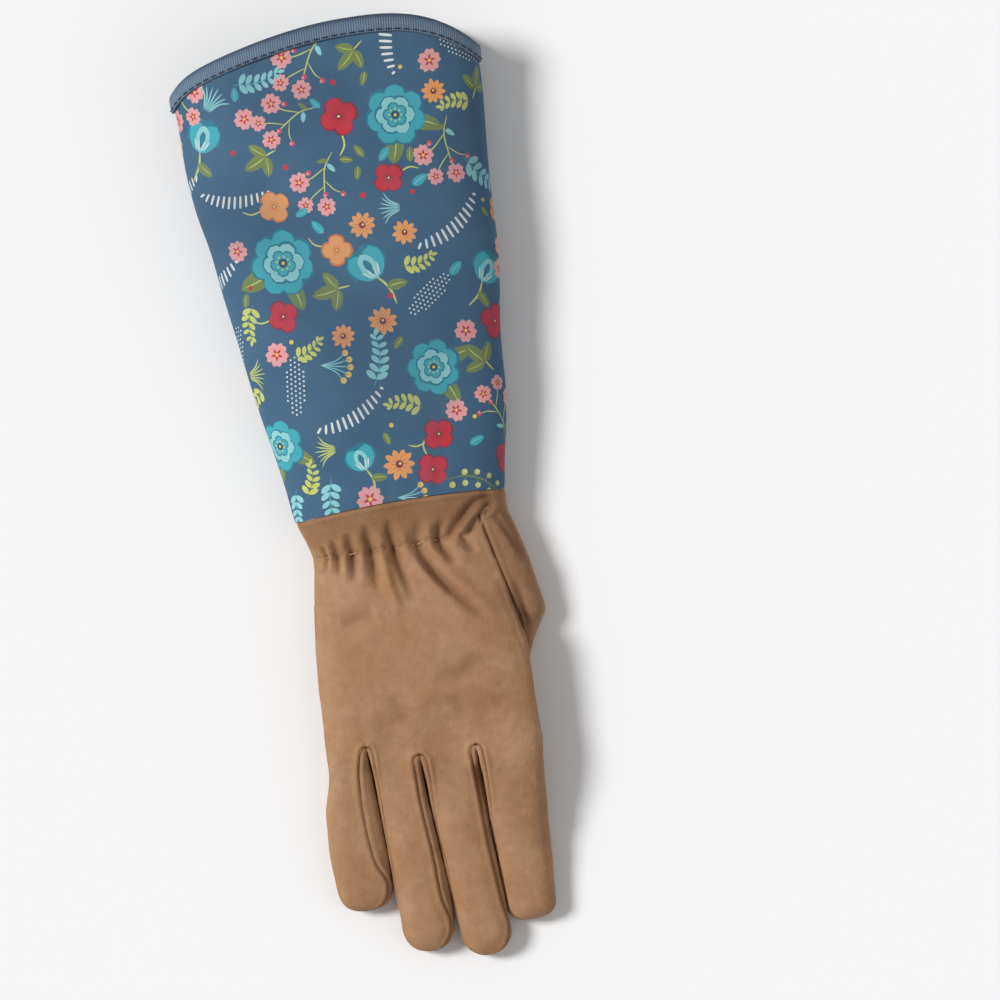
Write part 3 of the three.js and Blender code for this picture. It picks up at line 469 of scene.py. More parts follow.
def cad_shift():
    """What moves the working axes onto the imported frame, read off the cuff's own box."""
    low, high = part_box("cuff_sleeve")
    right = cuff_point(np.zeros(1), np.array(CUFF_STEPS), 0.0)[..., 0].max()
    return np.array([high.x / MM - right, low.y / MM - SEAM_GAP / 2, 0.0])


SHIFT = cad_shift()


def place(points):
    return (np.asarray(points) + SHIFT) * MM


# Thin walls

class Wall:
    """A sewn piece as an outer and an inner skin, joined along its free edges."""

    def __init__(self):
        self.outer, self.inner, self.faces, self.count = [], [], [], 0

    def add(self, outer, inner):
        shape = outer.shape[:-1]
        number = int(np.prod(shape))
        self.outer.append(outer.reshape(-1, 3))
        self.inner.append(inner.reshape(-1, 3))
        self.count += number
        return np.arange(self.count - number, self.count).reshape(shape)

    def grid(self, index):
        self.faces.append(np.stack([
            index[:-1, :-1], index[1:, :-1], index[1:, 1:], index[:-1, 1:]], -1).reshape(-1, 4))

    def settle(self):
        """Joins the parts added so far and turns every face outwards."""
        self.out = np.concatenate(self.outer)
        self.into = np.concatenate(self.inner)
        self.face = np.concatenate(self.faces)
        normal = self.face_normals()
        middle = (self.out - self.into)[self.face].mean(1)
        if (normal * middle).sum() < 0:
            self.face = self.face[:, ::-1]
        return self

    def face_normals(self):
        corners = self.out[self.face]
        return np.cross(corners[:, 2] - corners[:, 0], corners[:, -1] - corners[:, 1])

    def normals(self):
        """A unit normal at each point of the outer skin."""
        total = np.zeros_like(self.out)
        flat = self.face_normals()
        for k in range(self.face.shape[1]):
            np.add.at(total, self.face[:, k], flat)
        return unit(total)

    def free_edges(self):
        a = self.face.ravel()
        b = np.roll(self.face, -1, 1).ravel()
        keys = a.astype(np.int64) * len(self.out) + b
        back = b.astype(np.int64) * len(self.out) + a
        free = ~np.isin(keys, back)
        return a[free], b[free]

    def edge_distance(self):
        """How far each point of the outer skin lies from the nearest free edge."""
        a, b = self.free_edges()
        points = np.unique(np.concatenate([a, b]))
        return distances(self.out, self.out[points])

    def press(self, rise, lift=0.0):
        """Raises both skins along their normals, and straight up by a lift."""
        step = self.normals() * np.asarray(rise)[:, None]
        step[:, 2] += lift
        self.out = self.out + step
        self.into = self.into + step

    def relax(self, share, rounds):
        """Smooths both skins by a share at each point, the free edges staying put."""
        a, b = self.face.ravel(), np.roll(self.face, -1, 1).ravel()
        count = np.bincount(a, minlength=len(self.out)) + np.bincount(b, minlength=len(self.out))
        share = share.copy()
        share[np.concatenate(self.free_edges())] = 0
        share = np.where(count > 0, share, 0)[:, None]
        for _ in range(rounds):
            for skin in (self.out, self.into):
                total = np.zeros_like(skin)
                np.add.at(total, a, skin[b])
                np.add.at(total, b, skin[a])
                skin += share * (total / np.maximum(count, 1)[:, None] - skin)

    def keep(self, wanted):
        """Keeps the faces whose middle passes the test."""
        self.face = self.face[wanted(self.out[self.face].mean(1))]

    def build(self, name, values, even=False):
        """The mesh object. values holds a number for each outer point under each name.
        Even shading weighs faces by their area, so that slivers between motifs don't show."""
        count = len(self.out)
        a, b = self.free_edges()
        rim = np.stack([b, a, a + count, b + count], -1)
        faces = [*self.face.tolist(), *(self.face[:, ::-1] + count).tolist(), *rim.tolist()]
        points = np.concatenate([self.out, self.into])
        points[:, 2] = np.maximum(points[:, 2], FLOOR_CLEAR)
        used = np.zeros(len(points), bool)
        used[np.unique(np.concatenate([np.ravel(face) for face in faces]))] = True
        order = np.cumsum(used) - 1
        faces = [[int(order[k]) for k in face] for face in faces]
        mesh = bpy.data.meshes.new(name)
        mesh.from_pydata(place(points[used]), [], faces)
        mesh.polygons.foreach_set("use_smooth", np.ones(len(mesh.polygons), bool))
        for key, numbers in values.items():
            mark(mesh, key, np.concatenate([numbers, np.zeros(count)])[used])
        mesh.validate()
        if even:
            normals = self.normals()
            mesh.normals_split_custom_set_from_vertices(np.concatenate([normals, -normals])[used])
        return add_object(name, mesh)


def add_object(name, data):
    """An object in the scene with its mesh, camera or light."""
    piece = bpy.data.objects.new(name, data)
    bpy.context.scene.collection.objects.link(piece)
    return piece


def mark(mesh, name, values, kind="FLOAT", where="POINT", field="value"):
    """Stores values on a mesh under a name, for a material or a node tree to read."""
    attribute = mesh.attributes.new(name, kind, where)
    attribute.data.foreach_set(field, np.asarray(values).astype(np.float32).ravel())


def dress(piece, material, node):
    """Gives a sewn piece its material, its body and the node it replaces."""
    piece.data.materials.append(material)
    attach(piece, "root")
    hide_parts(node)
    return piece


def distances(points, targets):
    """The distance from each point to the nearest target."""
    tree = KDTree(len(targets))
    for i, target in enumerate(targets):
        tree.insert(target, i)
    tree.balance()
    return np.array([tree.find(point)[2] for point in points])


def along_path(points, path):
    """For each place, its distance from a path seen from above, and its share along it."""
    path = np.asarray(path, float)
    best = np.full(len(points), 1e9)
    share = np.zeros(len(points))
    steps = np.linalg.norm(np.diff(path, axis=0), axis=1)
    total, done = steps.sum(), 0.0
    for a, b, step in zip(path[:-1], path[1:], steps):
        t = np.clip(((points - a) @ (b - a)) / step**2, 0, 1)
        off = np.linalg.norm(points - (a + t[:, None] * (b - a)), axis=1)
        closer = off < best
        best = np.where(closer, off, best)
        share = np.where(closer, (done + t * step) / total, share)
        done += step
    return best, share


def smooth_path(points, step=1.0):
    """A rounded path through a few points."""
    points = np.asarray(points, float)
    spans = lengths_along(points)
    fine = np.linspace(0, spans[-1], max(int(spans[-1] / step), 2) + 1)
    rows = [read(dict(at=spans, v=points[:, k]), "v", fine) for k in range(points.shape[1])]
    return np.stack(rows, -1)


def grain(points, size, seed):
    """Smooth noise of about one wave a size, for soft unevenness."""
    offset = np.array([seed * 13.7, seed * 7.1, seed * 3.3])
    return np.array([noise.noise(Vector(p)) for p in points / size + offset])


# Leather pieces

def spread(count, crowd=0.35):
    """Shares from 0 to 1 that lie closer together towards both ends."""
    t = np.linspace(0, 1, count + 1)
    return mix(t, 0.5 - 0.5 * np.cos(np.pi * t), crowd)


# How many faces each piece has along and across
ACROSS_FINGER = 30
DOWN_HAND = 120
DOWN_FINGER = spread(96, 0.25)
ROUND_TIP = 16
ACROSS_GUSSET = 18
GUSSET_TIP_END = 84.0
DOWN_THUMB = np.linspace(0, 1, 131)
ACROSS_THUMB = 46


def open_seam(points, where, up):
    """Leaves half the seam's gap along an edge that is sewn to another piece."""
    points[..., 2] += np.where(where, (1 if up else -1) * (SEAM_GAP / 2), 0.0)
    return points


def stations(down, tip_end=90.0):
    """Rows down a finger or the thumb: shares of its length, then degrees round its tip."""
    at = np.concatenate([down, np.ones(ROUND_TIP)])
    tip = np.concatenate([0 * down, np.linspace(0, tip_end, ROUND_TIP + 1)[1:]])
    return at[:, None], tip[:, None]


def skins(points_at):
    """The outer and the inner skin of a leather piece."""
    return [points_at(inset) for inset in (0.0, LEATHER_WALL)]


def side_by_side(parts):
    """Both skins of a piece, joined from parts that lie side by side."""
    return [np.concatenate(skin, 1) for skin in zip(*parts)]


def hand_panel(upper):
    """The back or the palm, running on down the four fingers."""
    wall = Wall()
    r = spread(DOWN_HAND, 0.2)[:, None]
    parts = []
    for f in range(4):
        u = spread(ACROSS_FINGER)[None, :]
        if f < 3:
            u = u[:, :-1]
        sewn = (((u == 0) & ((r == 1) | (f == 0))) | ((u == 1) & (f == 3))) & (r >= 0)
        parts.append(skins(lambda inset: open_seam(
            hand_point(f, u, r, upper, inset), sewn, upper)))
    hand = wall.add(*side_by_side(parts))
    wall.grid(hand)
    at, tip = stations(DOWN_FINGER)
    u = spread(ACROSS_FINGER)[None, :]
    sewn = ((u == 0) | (u == 1) | (tip == 90)) & (at >= 0)
    for f in range(4):
        angle = finger_angle(f, at, u, upper)
        rows = wall.add(*skins(lambda inset: open_seam(
            finger_point(f, at, tip, angle, u, inset), sewn, upper)[1:]))
        root = hand[-1, f * ACROSS_FINGER:(f + 1) * ACROSS_FINGER + 1]
        wall.grid(np.concatenate([root[None, :], rows]))
    return wall.settle()


def gusset_wall(fork):
    """The strip between two fingers: up one finger's side, round the fork and down the next."""
    wall = Wall()
    share = spread(ACROSS_GUSSET)[None, :]
    at, tip = stations(DOWN_FINGER, GUSSET_TIP_END)
    halves = []
    for f, side, u, whole in ((fork, 1, 1.0, 0.0), (fork + 1, -1, 0.0, 2 * np.pi)):
        high = angle_at(finger_edge(f, at, side, True), FINGER_SQUARE)
        low = whole - angle_at(finger_edge(f, at, side, False), FINGER_SQUARE)
        angle = mix(high, low, share)

        def points_at(inset):
            points = finger_point(f, at, tip, angle, u, inset)
            points = open_seam(points, (share == 0) & (at >= 0), False)
            return open_seam(points, (share == 1) & (at >= 0), True)

        halves.append(skins(points_at))
    wall.grid(wall.add(*(np.concatenate([a[::-1], b[1:]]) for a, b in zip(*halves))))
    return wall.settle()


def thumb_wall(out):
    """One of the thumb's two halves: the outer (out = 1) or the inner (out = -1)."""
    wall = Wall()
    at, tip = stations(DOWN_THUMB)
    share = spread(ACROSS_THUMB)[None, :]
    sewn = ((share == 0) | (share == 1) | (tip == 90)) & (at >= 0)

    def points_at(inset):
        points = thumb_point(at, tip, np.pi * (share - out / 2), inset)
        points[..., 0] += np.where(sewn, out * SEAM_GAP / 2, 0.0)
        return points

    wall.grid(wall.add(*skins(points_at)))
    return wall.settle()


def inside_hand(points, deeper):
    """Whether places lie inside the hand's body, short of the fingers, by more than a depth."""
    section = hand_section(-points[:, 1] / HAND_LENGTH)
    across = (points[:, 0] - section["x"]) / (section["half"] - deeper)
    within = np.abs(across) < 1
    across = np.clip(across, -1, 1)
    up = (1 - np.abs(across) ** section["square"]) ** (1 / section["square"])
    side = section["side"](across)
    top = side + up * (section["top"](across) - deeper - side)
    low = side - up * (side - section["bottom"](across) - deeper)
    return within & (points[:, 2] < top) & (points[:, 2] > low) & (points[:, 1] > -100)


def inside_outline(points, outline):
    """Whether places seen from above lie inside a closed outline."""
    x, y = points[:, 0], points[:, 1]
    inside = np.zeros(len(points), bool)
    for (ax, ay), (bx, by) in zip(outline, np.roll(outline, -1, 0)):
        crosses = (ay > y) != (by > y)
        # A level side gives no number here, but no place crosses it
        with np.errstate(divide="ignore", invalid="ignore"):
            at = ax + (y - ay) / (by - ay) * (bx - ax)
        inside ^= crosses & (x < at)
    return inside


# The patch: how far down the palm it runs, which columns of the palm's points it takes, how
# near a notch its edge is drawn onto the notch, and how far from the glove's middle line
PATCH_DOWN = np.linspace(0.18, 0.95, 90)
PATCH_ACROSS = slice(6, -5)
NOTCH_REACH = 1.3
NOTCH_END = 41


def patch_wall():
    wall = Wall()
    far = -SEAM_GAP - PATCH_WALL
    u = np.linspace(0, 1, ACROSS_FINGER + 1)[None, :-1]
    parts = [[hand_point(f, u, PATCH_DOWN[:, None], False, far + inset)
              for inset in (0.0, PATCH_WALL)] for f in range(4)]
    wall.grid(wall.add(*(skin[:, PATCH_ACROSS] for skin in side_by_side(parts))))
    wall.settle()
    notches = [smooth_path(notch * NOTCH_SCALE, 0.2) for notch in (WRIST_NOTCH, SIDE_NOTCH)]
    for notch in notches:
        wall.keep(lambda p: ~inside_outline(p, notch[::4]))
    # The cut runs along the notches themselves and not from point to point
    edge = np.unique(np.concatenate(wall.free_edges()))
    places = wall.out[edge, :2]
    for notch in notches:
        gap = np.linalg.norm(places[:, None] - notch[None, ::2], axis=2)
        near = (gap.min(1) < NOTCH_REACH) & (np.abs(places[:, 0]) < NOTCH_END)
        step = notch[::2][gap.argmin(1)][near] - places[near]
        wall.out[edge[near], :2] += step
        wall.into[edge[near], :2] += step
        places = wall.out[edge, :2]
    return wall


# Folds pressed into the back of the hand: a path seen from above, its width and how far it
# rises (minus sinks), in millimetres. The first rows are the gathers of the wrist elastic.
BACK_FOLDS = [
    ([(-34, -10), (-33, -18), (-33.5, -27)], 1.6, -1.2),
    ([(-26.5, -8), (-26, -18), (-26.5, -31)], 1.8, -1.6),
    ([(-18, -6), (-17, -18), (-17, -36)], 2.0, -1.8),
    ([(-7, -5), (-6.5, -18), (-4.5, -30), (-1, -44)], 2.1, -1.8),
    ([(7, -7), (4.5, -18), (10, -32), (20, -45), (32, -59)], 2.7, -1.9),
    ([(18, -8), (14.5, -18), (21, -31)], 2.0, -1.6),
    ([(16.7, -19), (25, -12), (33, -5), (42, -1.5)], 2.3, -2.1),
    ([(26.5, -18.5), (35, -11), (43, -3.5)], 2.1, -2.1),
    ([(24, -17), (30, -26)], 1.9, -1.3),
    ([(-38.5, -12), (-38.5, -18), (-39.5, -25)], 1.3, -1.0),
    ([(-36.3, -11), (-36, -18), (-37, -26)], 1.8, 0.7),
    ([(-29.8, -10), (-29.6, -18), (-30, -30)], 2.0, 1.0),
    ([(-22, -8), (-21.6, -18), (-22.5, -34)], 2.4, 1.2),
    ([(-12, -7), (-12, -18), (-11, -34), (-8, -48)], 2.7, 1.4),
    ([(-1, -8), (-1, -18), (5, -31), (14, -44)], 2.8, 1.3),
    ([(12, -9), (9.5, -18), (16, -30)], 2.4, 1.1),
    ([(21.5, -19), (30, -10), (38, -3)], 2.4, 1.5),
    ([(31, -17), (38, -10), (44, -6)], 2.0, 1.1),
    ([(19.5, -18), (26, -29)], 2.0, 0.9),
    ([(13, -30), (25, -44), (36, -58)], 3.4, 0.9),
    ([(-36, -48), (-20, -46)], 4.0, -0.9),
    ([(3, -76), (14, -78), (26, -72)], 6.5, -1.0),
    ([(-20, -84), (-14, -98)], 6.0, -0.9),
    ([(9, -88), (12, -102)], 5.0, -0.8),
    ([(38, -40), (41, -52), (44, -66)], 2.2, -0.9),
]
ELASTIC = [(-44, -17.4), (-38.5, -18.2), (-36, -17.2), (-33.3, -18.6), (-29.7, -17.5),
           (-26.2, -19), (-21.7, -17.6), (-17, -19.2), (-12, -17.5), (-6.5, -19.2), (-1, -17.5),
           (4.5, -19), (9.5, -17.2), (14.6, -18.5), (20, -16.7), (25, -17.6), (31, -15.2)]
# The seam where the back of the hand meets the thumb
THUMB_SEAM = [(33.5, -9), (35, -14), (37, -22), (40, -35), (42.5, -50), (45, -62), (47, -73)]
# The folds of the thumb: down its outer side, and over its ball below the cuff
THUMB_FOLD = [(46, -42), (47.5, -54), (47.5, -70)]
BALL_FOLD = [(37, -9), (40.5, -11), (43.5, -15), (46.5, -21), (49, -27), (51, -35)]


# The share of their stated width at which the folds are pressed, how much deeper than stated
# the elastic's gathers are, the y below which a fold is no gather, how far from its middle a
# fold is worked out, and how many puckers the elastic has
FOLD_NARROW = 0.88
GATHER_DEPTH = 1.75
GATHERS_END = -50
FOLD_REACH = 60
PUCKERS = 19


def fork_fill(points):
    """How far the leather bridges the valleys between the knuckles, straight up."""
    lift = np.zeros(len(points))
    for fork in range(3):
        top, low = fork_height(fork, "top"), fork_height(fork, "lift")
        y0 = fork_y(fork)
        dx = points[:, 0] - gap_line(fork, np.minimum(points[:, 1], y0))
        dy = points[:, 1] - y0
        spread_y = np.where(dy > 0, 17.0, 26.0)
        upper = ease((points[:, 2] - mix(low, top, 0.35)) / (0.3 * (top - low)))
        lift += 3.0 * np.exp(-((dx / 6.5) ** 2) - (dy / spread_y) ** 2) * upper
    return lift


def right_of(points, path):
    """How far right of a path that runs down the hand a place lies."""
    path = smooth_path(path)
    return points[:, 0] - np.interp(-points[:, 1], -path[:, 1], path[:, 0])


def seam_side(points):
    """How far right of the thumb seam a place lies, and how much it belongs to its length."""
    reach = ease((-11 - points[:, 1]) / 9) * ease((points[:, 1] + 76) / 5)
    return right_of(points, THUMB_SEAM), reach


def back_relief(points, normals):
    """How far the leather of the back rises or sinks, is lifted, and how much painted shade
    darkens its folds.
    """
    flat = points[:, :2]
    rise = np.zeros(len(points))
    crease_shade = np.zeros(len(points))
    for path, width, high in BACK_FOLDS:
        path = smooth_path(path)
        near = np.linalg.norm(flat - path.mean(0), axis=1) < FOLD_REACH
        off, share = along_path(flat[near], path)
        width = FOLD_NARROW * width
        taper = np.clip(4 * share * (1 - share), 0, 1) ** 0.7
        deeper = GATHER_DEPTH if path[:, 1].mean() > GATHERS_END else 1.0
        rise[near] += deeper * high * (bell(off, width) * taper)
        if high < 0:
            # Painted shade in the sinking folds
            crease_shade[near] += min(-high / 1.6, 1) * bell(off, 0.7 * width) * taper
    off, share = along_path(flat, smooth_path(ELASTIC))
    fade = np.clip(6 * (1 - share), 0, 1)
    rise -= (0.9 * bell(off, 1.0) + 0.8 * bell(off, 4.5)) * fade
    pucker = np.cos(share * 2 * math.pi * PUCKERS) * bell(off, 2.4) * fade
    rise += 0.45 * pucker
    # Painted shade in the puckers of the elastic
    crease_shade += (0.35 - 0.3 * pucker) * bell(off, 1.2) * fade
    # The band between the elastic and the cuff swells, and painted shade darkens it
    rise += 0.7 * bell(points[:, 1] + 8.5, 5.0)
    crease_shade += 0.62 * bell(points[:, 1] + 6, 9.0)
    upward = ease((normals[:, 2] - 0.1) / 0.5)
    side, reach = seam_side(points)
    welt = 0.55 * bell(side + 1.3, 0.9) * reach
    # Painted shade along the thumb's seam
    crease_shade = crease_shade + 0.6 * bell(side, 1.0) * reach
    # Beside the thumb's seam the back of the hand steps down, further below the cuff
    drop = 3.4 + 2.6 * ease((-40 - points[:, 1]) / 16)
    lift = fork_fill(points) - drop * ease((side + 0.2) / 1.1) * reach * upward
    return (rise + welt) * upward, lift, np.clip(crease_shade * upward, 0, 1)


def gusset_relief(points, normals):
    """A strip between the fingers only rises with the leather that bridges the knuckles."""
    return np.zeros(len(points)), fork_fill(points), np.zeros(len(points))


def thumb_relief(points, normals):
    """The thumb's welt along the seam with the back, and the folds down its side and ball, with
    painted shade along the seam, in the folds and over its side.
    """
    upward = ease((normals[:, 2] - 0.1) / 0.4)
    side, reach = seam_side(points)
    rise = (0.4 * bell(side - 1.5, 1.0) - 0.3 * bell(side, 0.8)) * reach
    crease_shade = 0.5 * bell(side, 1.1) * reach
    fold = 0.0
    for path in (THUMB_FOLD, BALL_FOLD):
        off, share = along_path(points[:, :2], smooth_path(path))
        fold = fold + bell(off, 1.5) * np.clip(4 * share * (1 - share), 0, 1) ** 0.6
    beyond = ease(right_of(points, BALL_FOLD) / 1.6)
    beyond *= ease((-6 - points[:, 1]) / 4) * ease((40 + points[:, 1]) / 12)
    # Painted shade over the thumb below the cuff and beyond the ball fold
    shade = 0.45 * ease((-2 - points[:, 1]) / 6) * ease((70 + points[:, 1]) / 16) + 0.3 * beyond
    return ((rise - 1.1 * fold - 0.7 * beyond) * upward, np.zeros(len(points)),
            (crease_shade + 0.7 * fold + shade) * upward)


def near_roots(points):
    """How much a place belongs to where the hand runs into the fingers."""
    return bell(points[:, 1] + HAND_LENGTH - 7, 12.0)


def near_forks(points):
    """How much a place belongs to the forks between the fingers."""
    near = np.zeros(len(points))
    for fork in range(3):
        y0 = fork_y(fork) - 5
        off = np.hypot(points[:, 0] - gap_line(fork, y0), (points[:, 1] - y0) / 1.6)
        near = np.maximum(near, bell(off, 9.0))
    return near


def sew(wall, name, relief, bead, seed):
    """Gives a leather wall its folds, the welts along its seams, its soft unevenness, and painted
    shade in its folds and along its seams.
    """
    if name == "hand_back_leather":
        wall.relax(0.8 * near_roots(wall.out), 60)
    normals = wall.normals()
    off = wall.edge_distance()
    bead = bead * (1 + near_forks(wall.out))
    rise = bead * bell(off - 1.6, 1.0) - 0.3 * bell(off, 0.7)
    # Painted shade along the seams at the free edges
    crease_shade = 0.42 * bell(off, 0.9)
    lift = 0.0
    if relief:
        # folded is the relief's painted shade
        more, lift, folded = relief(wall.out, normals)
        rise, crease_shade = rise + more, crease_shade + folded
    rise += 0.3 * grain(wall.out, 12.0, seed) + 0.13 * grain(wall.out, 4.5, seed + 2)
    wall.press(rise, lift)
    return wall.build(name, {"crease_shade": np.clip(crease_shade, 0, 1)})


# Finishes

class Wire:
    """A shader value on which Python's operators work."""

    def __init__(self, finish, socket):
        self.finish, self.socket = finish, socket

    def _math(self, operation, *values):
        return self.finish.node(
            "ShaderNodeMath", {"operation": operation}, dict(enumerate(values)))

    def __add__(self, other):
        return self._math("ADD", self, other)

    def __sub__(self, other):
        return self._math("SUBTRACT", self, other)

    def __mul__(self, other):
        return self._math("MULTIPLY", self, other)

    def __truediv__(self, other):
        return self._math("DIVIDE", self, other)

    def sine(self):
        return self._math("SINE", self)

    def clamped(self):
        return self._math("MINIMUM", self._math("MAXIMUM", self, 0.0), 1.0)


class Finish:
    """A material built from nodes."""

    def __init__(self, name):
        self.material = bpy.data.materials.new(name)
        self.material.use_nodes = True
        self.tree = self.material.node_tree
        self.tree.nodes.clear()
        self.output = self.tree.nodes.new("ShaderNodeOutputMaterial")
        self.shader = self.tree.nodes.new("ShaderNodeBsdfPrincipled")
        self.tree.links.new(self.shader.outputs[0], self.output.inputs[0])

    def connect(self, socket, value):
        if isinstance(value, Wire):
            self.tree.links.new(value.socket, socket)
        else:
            socket.default_value = value

    def node(self, kind, settings=None, inputs=None, out=0):
        made = self.tree.nodes.new(kind)
        for key, value in (settings or {}).items():
            setattr(made, key, value)
        for key, value in (inputs or {}).items():
            self.connect(made.inputs[key], value)
        return Wire(self, made.outputs[out])

    def cloudy(self, size, detail=2.0, rough=0.5):
        """Noise with features of about a size in metres, from 0 to 1."""
        at = self.node("ShaderNodeTexCoord", out="Object")
        return self.node("ShaderNodeTexNoise", {}, {
            "Vector": at, "Scale": 1 / size, "Detail": detail, "Roughness": rough})

    def patches(self, size, detail, rough, low, high):
        """Noise whose range from low to high is opened out to 0 to 1."""
        return ((self.cloudy(size, detail, rough) - low) / (high - low)).clamped()

    def attribute(self, name, out="Fac"):
        return self.node("ShaderNodeAttribute", {"attribute_name": name}, out=out)

    def layers(self, colour, *coats):
        """A colour with others laid over it, each by a share."""
        for share, coat in coats:
            colour = self.node("ShaderNodeMix", {"data_type": "RGBA"},
                               {0: share, 6: colour, 7: coat}, out=2)
        return colour

    def bump(self, height, distance, strength):
        return self.node("ShaderNodeBump", {}, {
            "Height": height, "Distance": distance, "Strength": strength})

    def set(self, **inputs):
        for key, value in inputs.items():
            self.connect(self.shader.inputs[key.replace("_", " ")], value)
        return self.material


def rgb(red, green, blue):
    """A colour given as 0 to 255 on screen."""
    def linear(v):
        v /= 255
        return v / 12.92 if v <= 0.04045 else ((v + 0.055) / 1.055) ** 2.4
    return (linear(red), linear(green), linear(blue), 1.0)


def suede(name, light, body, warm, deep):
    """Split cowhide: mottled tan with a short nap, and painted shade where it folds and along
    seams.
    """
    f = Finish(name)
    nap = f.cloudy(0.0007, 3.0, 0.7)
    colour = f.layers(
        body,
        (f.patches(0.034, 2.0, 0.5, 0.4, 0.6) * 0.6, warm),
        (f.patches(0.022, 3.0, 0.55, 0.35, 0.65) * 0.55, light),
        (f.patches(0.0045, 3.0, 0.6, 0.3, 0.7) * 0.26, deep),
        # Painted shade: the mark read here darkens folds, seam grooves, the band by the wrist and
        # the thumb's shaded side
        ((f.attribute("crease_shade") * 0.72).clamped(), deep),
        (nap * 0.2, light))
    height = nap * 0.4 + f.cloudy(0.0024, 3.0, 0.6)
    return f.set(Base_Color=colour, Roughness=0.93, Specular_IOR_Level=0.2,
                 Sheen_Weight=0.12, Sheen_Roughness=0.5, Sheen_Tint=light,
                 Normal=f.bump(height, 0.0005, 0.65))


hand_suede = suede("hand_suede", rgb(184, 148, 116), rgb(163, 122, 84), rgb(164, 118, 90),
                   rgb(104, 68, 44))
patch_suede = suede("patch_suede", rgb(176, 138, 104), rgb(152, 112, 76), rgb(150, 106, 78),
                    rgb(100, 66, 42))
LIGHT_TAN = rgb(206, 172, 134)
# How deep inside the hand the thumb's root is cut away
HIDDEN_THUMB = 4.5


def leather_pieces():
    """The leather pieces by the node that each replaces."""
    made = {}
    for node, wall, relief, bead, seed in (
            ("hand_back", hand_panel(True), back_relief, 0.5, 1.0),
            ("hand_palm", hand_panel(False), None, 0.1, 5.0),
            ("gusset_little_ring", gusset_wall(0), gusset_relief, 0.35, 7.0),
            ("gusset_ring_middle", gusset_wall(1), gusset_relief, 0.35, 8.0),
            ("gusset_middle_index", gusset_wall(2), gusset_relief, 0.35, 9.0),
            ("thumb_outer", thumb_wall(1), thumb_relief, 0.5, 11.0),
            ("thumb_inner", thumb_wall(-1), thumb_relief, 0.5, 12.0),
            ("palm_patch", patch_wall(), None, 0.1, 15.0)):
        if node.startswith("thumb"):
            wall.keep(lambda p: ~inside_hand(p, HIDDEN_THUMB))
        patch = node == "palm_patch"
        made[node] = dress(
            sew(wall, node + "_leather", relief, bead, seed),
            patch_suede if patch else hand_suede, node)
    return made


leather = leather_pieces()


# Cuff cloth: the flat cloth's places are s (round the cuff from its top centre line) and y

SIDE_SEAM = math.radians(205.0)
ROWS_OF_CLOTH = np.linspace(-1.0, CUFF_LENGTH + 1.0, 90)
TURNS_OF_CLOTH = np.linspace(SIDE_SEAM - 2 * math.pi, SIDE_SEAM, 721)


def girth_table():
    """Arc length round the untouched taper from the top centre line, a row for each y."""
    y = ROWS_OF_CLOTH[:, None]
    points = section_point(cuff_section(y), TURNS_OF_CLOTH[None, :], y, 0.0)
    steps = np.linalg.norm(np.diff(points[..., [0, 2]], axis=1), axis=2)
    arcs = np.concatenate([np.zeros((len(y), 1)), np.cumsum(steps, 1)], 1)
    top = np.interp(math.pi / 2, TURNS_OF_CLOTH, np.arange(len(TURNS_OF_CLOTH)))
    low = int(top)
    middle = mix(arcs[:, low], arcs[:, low + 1], top - low)
    return middle[:, None] - arcs


GIRTH = girth_table()


def cloth_place(angle, y):
    """s of an angle round the cuff at y."""
    row = np.interp(y, ROWS_OF_CLOTH, np.arange(len(ROWS_OF_CLOTH)))
    column = np.interp(angle, TURNS_OF_CLOTH, np.arange(len(TURNS_OF_CLOTH)))
    i = np.minimum(row.astype(int), len(ROWS_OF_CLOTH) - 2)
    j = np.minimum(column.astype(int), len(TURNS_OF_CLOTH) - 2)
    a, b = row - i, column - j
    near = mix(GIRTH[i, j], GIRTH[i, j + 1], b)
    far = mix(GIRTH[i + 1, j], GIRTH[i + 1, j + 1], b)
    return mix(near, far, a)


def cloth_turn(s, y):
    """The angle round the cuff of a place of the flat cloth."""
    low = np.full(len(s), TURNS_OF_CLOTH[0])
    high = np.full(len(s), TURNS_OF_CLOTH[-1])
    for _ in range(34):
        middle = (low + high) / 2
        further = cloth_place(middle, y) > s
        low = np.where(further, middle, low)
        high = np.where(further, high, middle)
    return (low + high) / 2


def cloth_outline():
    """The cloth's cut outline: wrist edge, one side of the seam, rim edge, the other side."""
    turns = np.linspace(TURNS_OF_CLOTH[0], TURNS_OF_CLOTH[-1], 320)
    shares = np.linspace(0, 1, 90)[1:-1]
    angle = np.concatenate([
        turns, np.full(len(shares), turns[-1]), turns[::-1], np.full(len(shares), turns[0])])
    share = np.concatenate([
        np.zeros(len(turns)), shares, np.ones(len(turns)), shares[::-1]])
    y = cuff_y(angle, share)
    return np.stack([cloth_place(angle, y), y], -1)


def wrap(flat, inset):
    """Places of the flat cloth, in the shape that the sewn cuff has."""
    angle = cloth_turn(flat[:, 0], flat[:, 1])
    start, end = cuff_y(angle, 0.0), cuff_y(angle, 1.0)
    share = np.clip((flat[:, 1] - start) / (end - start), 0, 1)
    return cuff_point(angle, share, inset)


# Print of the cloth: a garden of flowers in a layout of its own, cut as flat shapes

INKS = dict(
    ground=rgb(58, 96, 126), deep=rgb(38, 64, 92), teal=rgb(60, 178, 190),
    aqua=rgb(150, 218, 220), sea=rgb(30, 124, 146), red=rgb(206, 30, 40),
    orange=rgb(244, 164, 84), amber=rgb(214, 118, 52), pink=rgb(244, 170, 166),
    rose=rgb(214, 74, 92), lime=rgb(212, 218, 104), olive=rgb(124, 140, 62),
    white=rgb(240, 244, 240), yellow=rgb(246, 208, 90), wine=rgb(136, 26, 46))


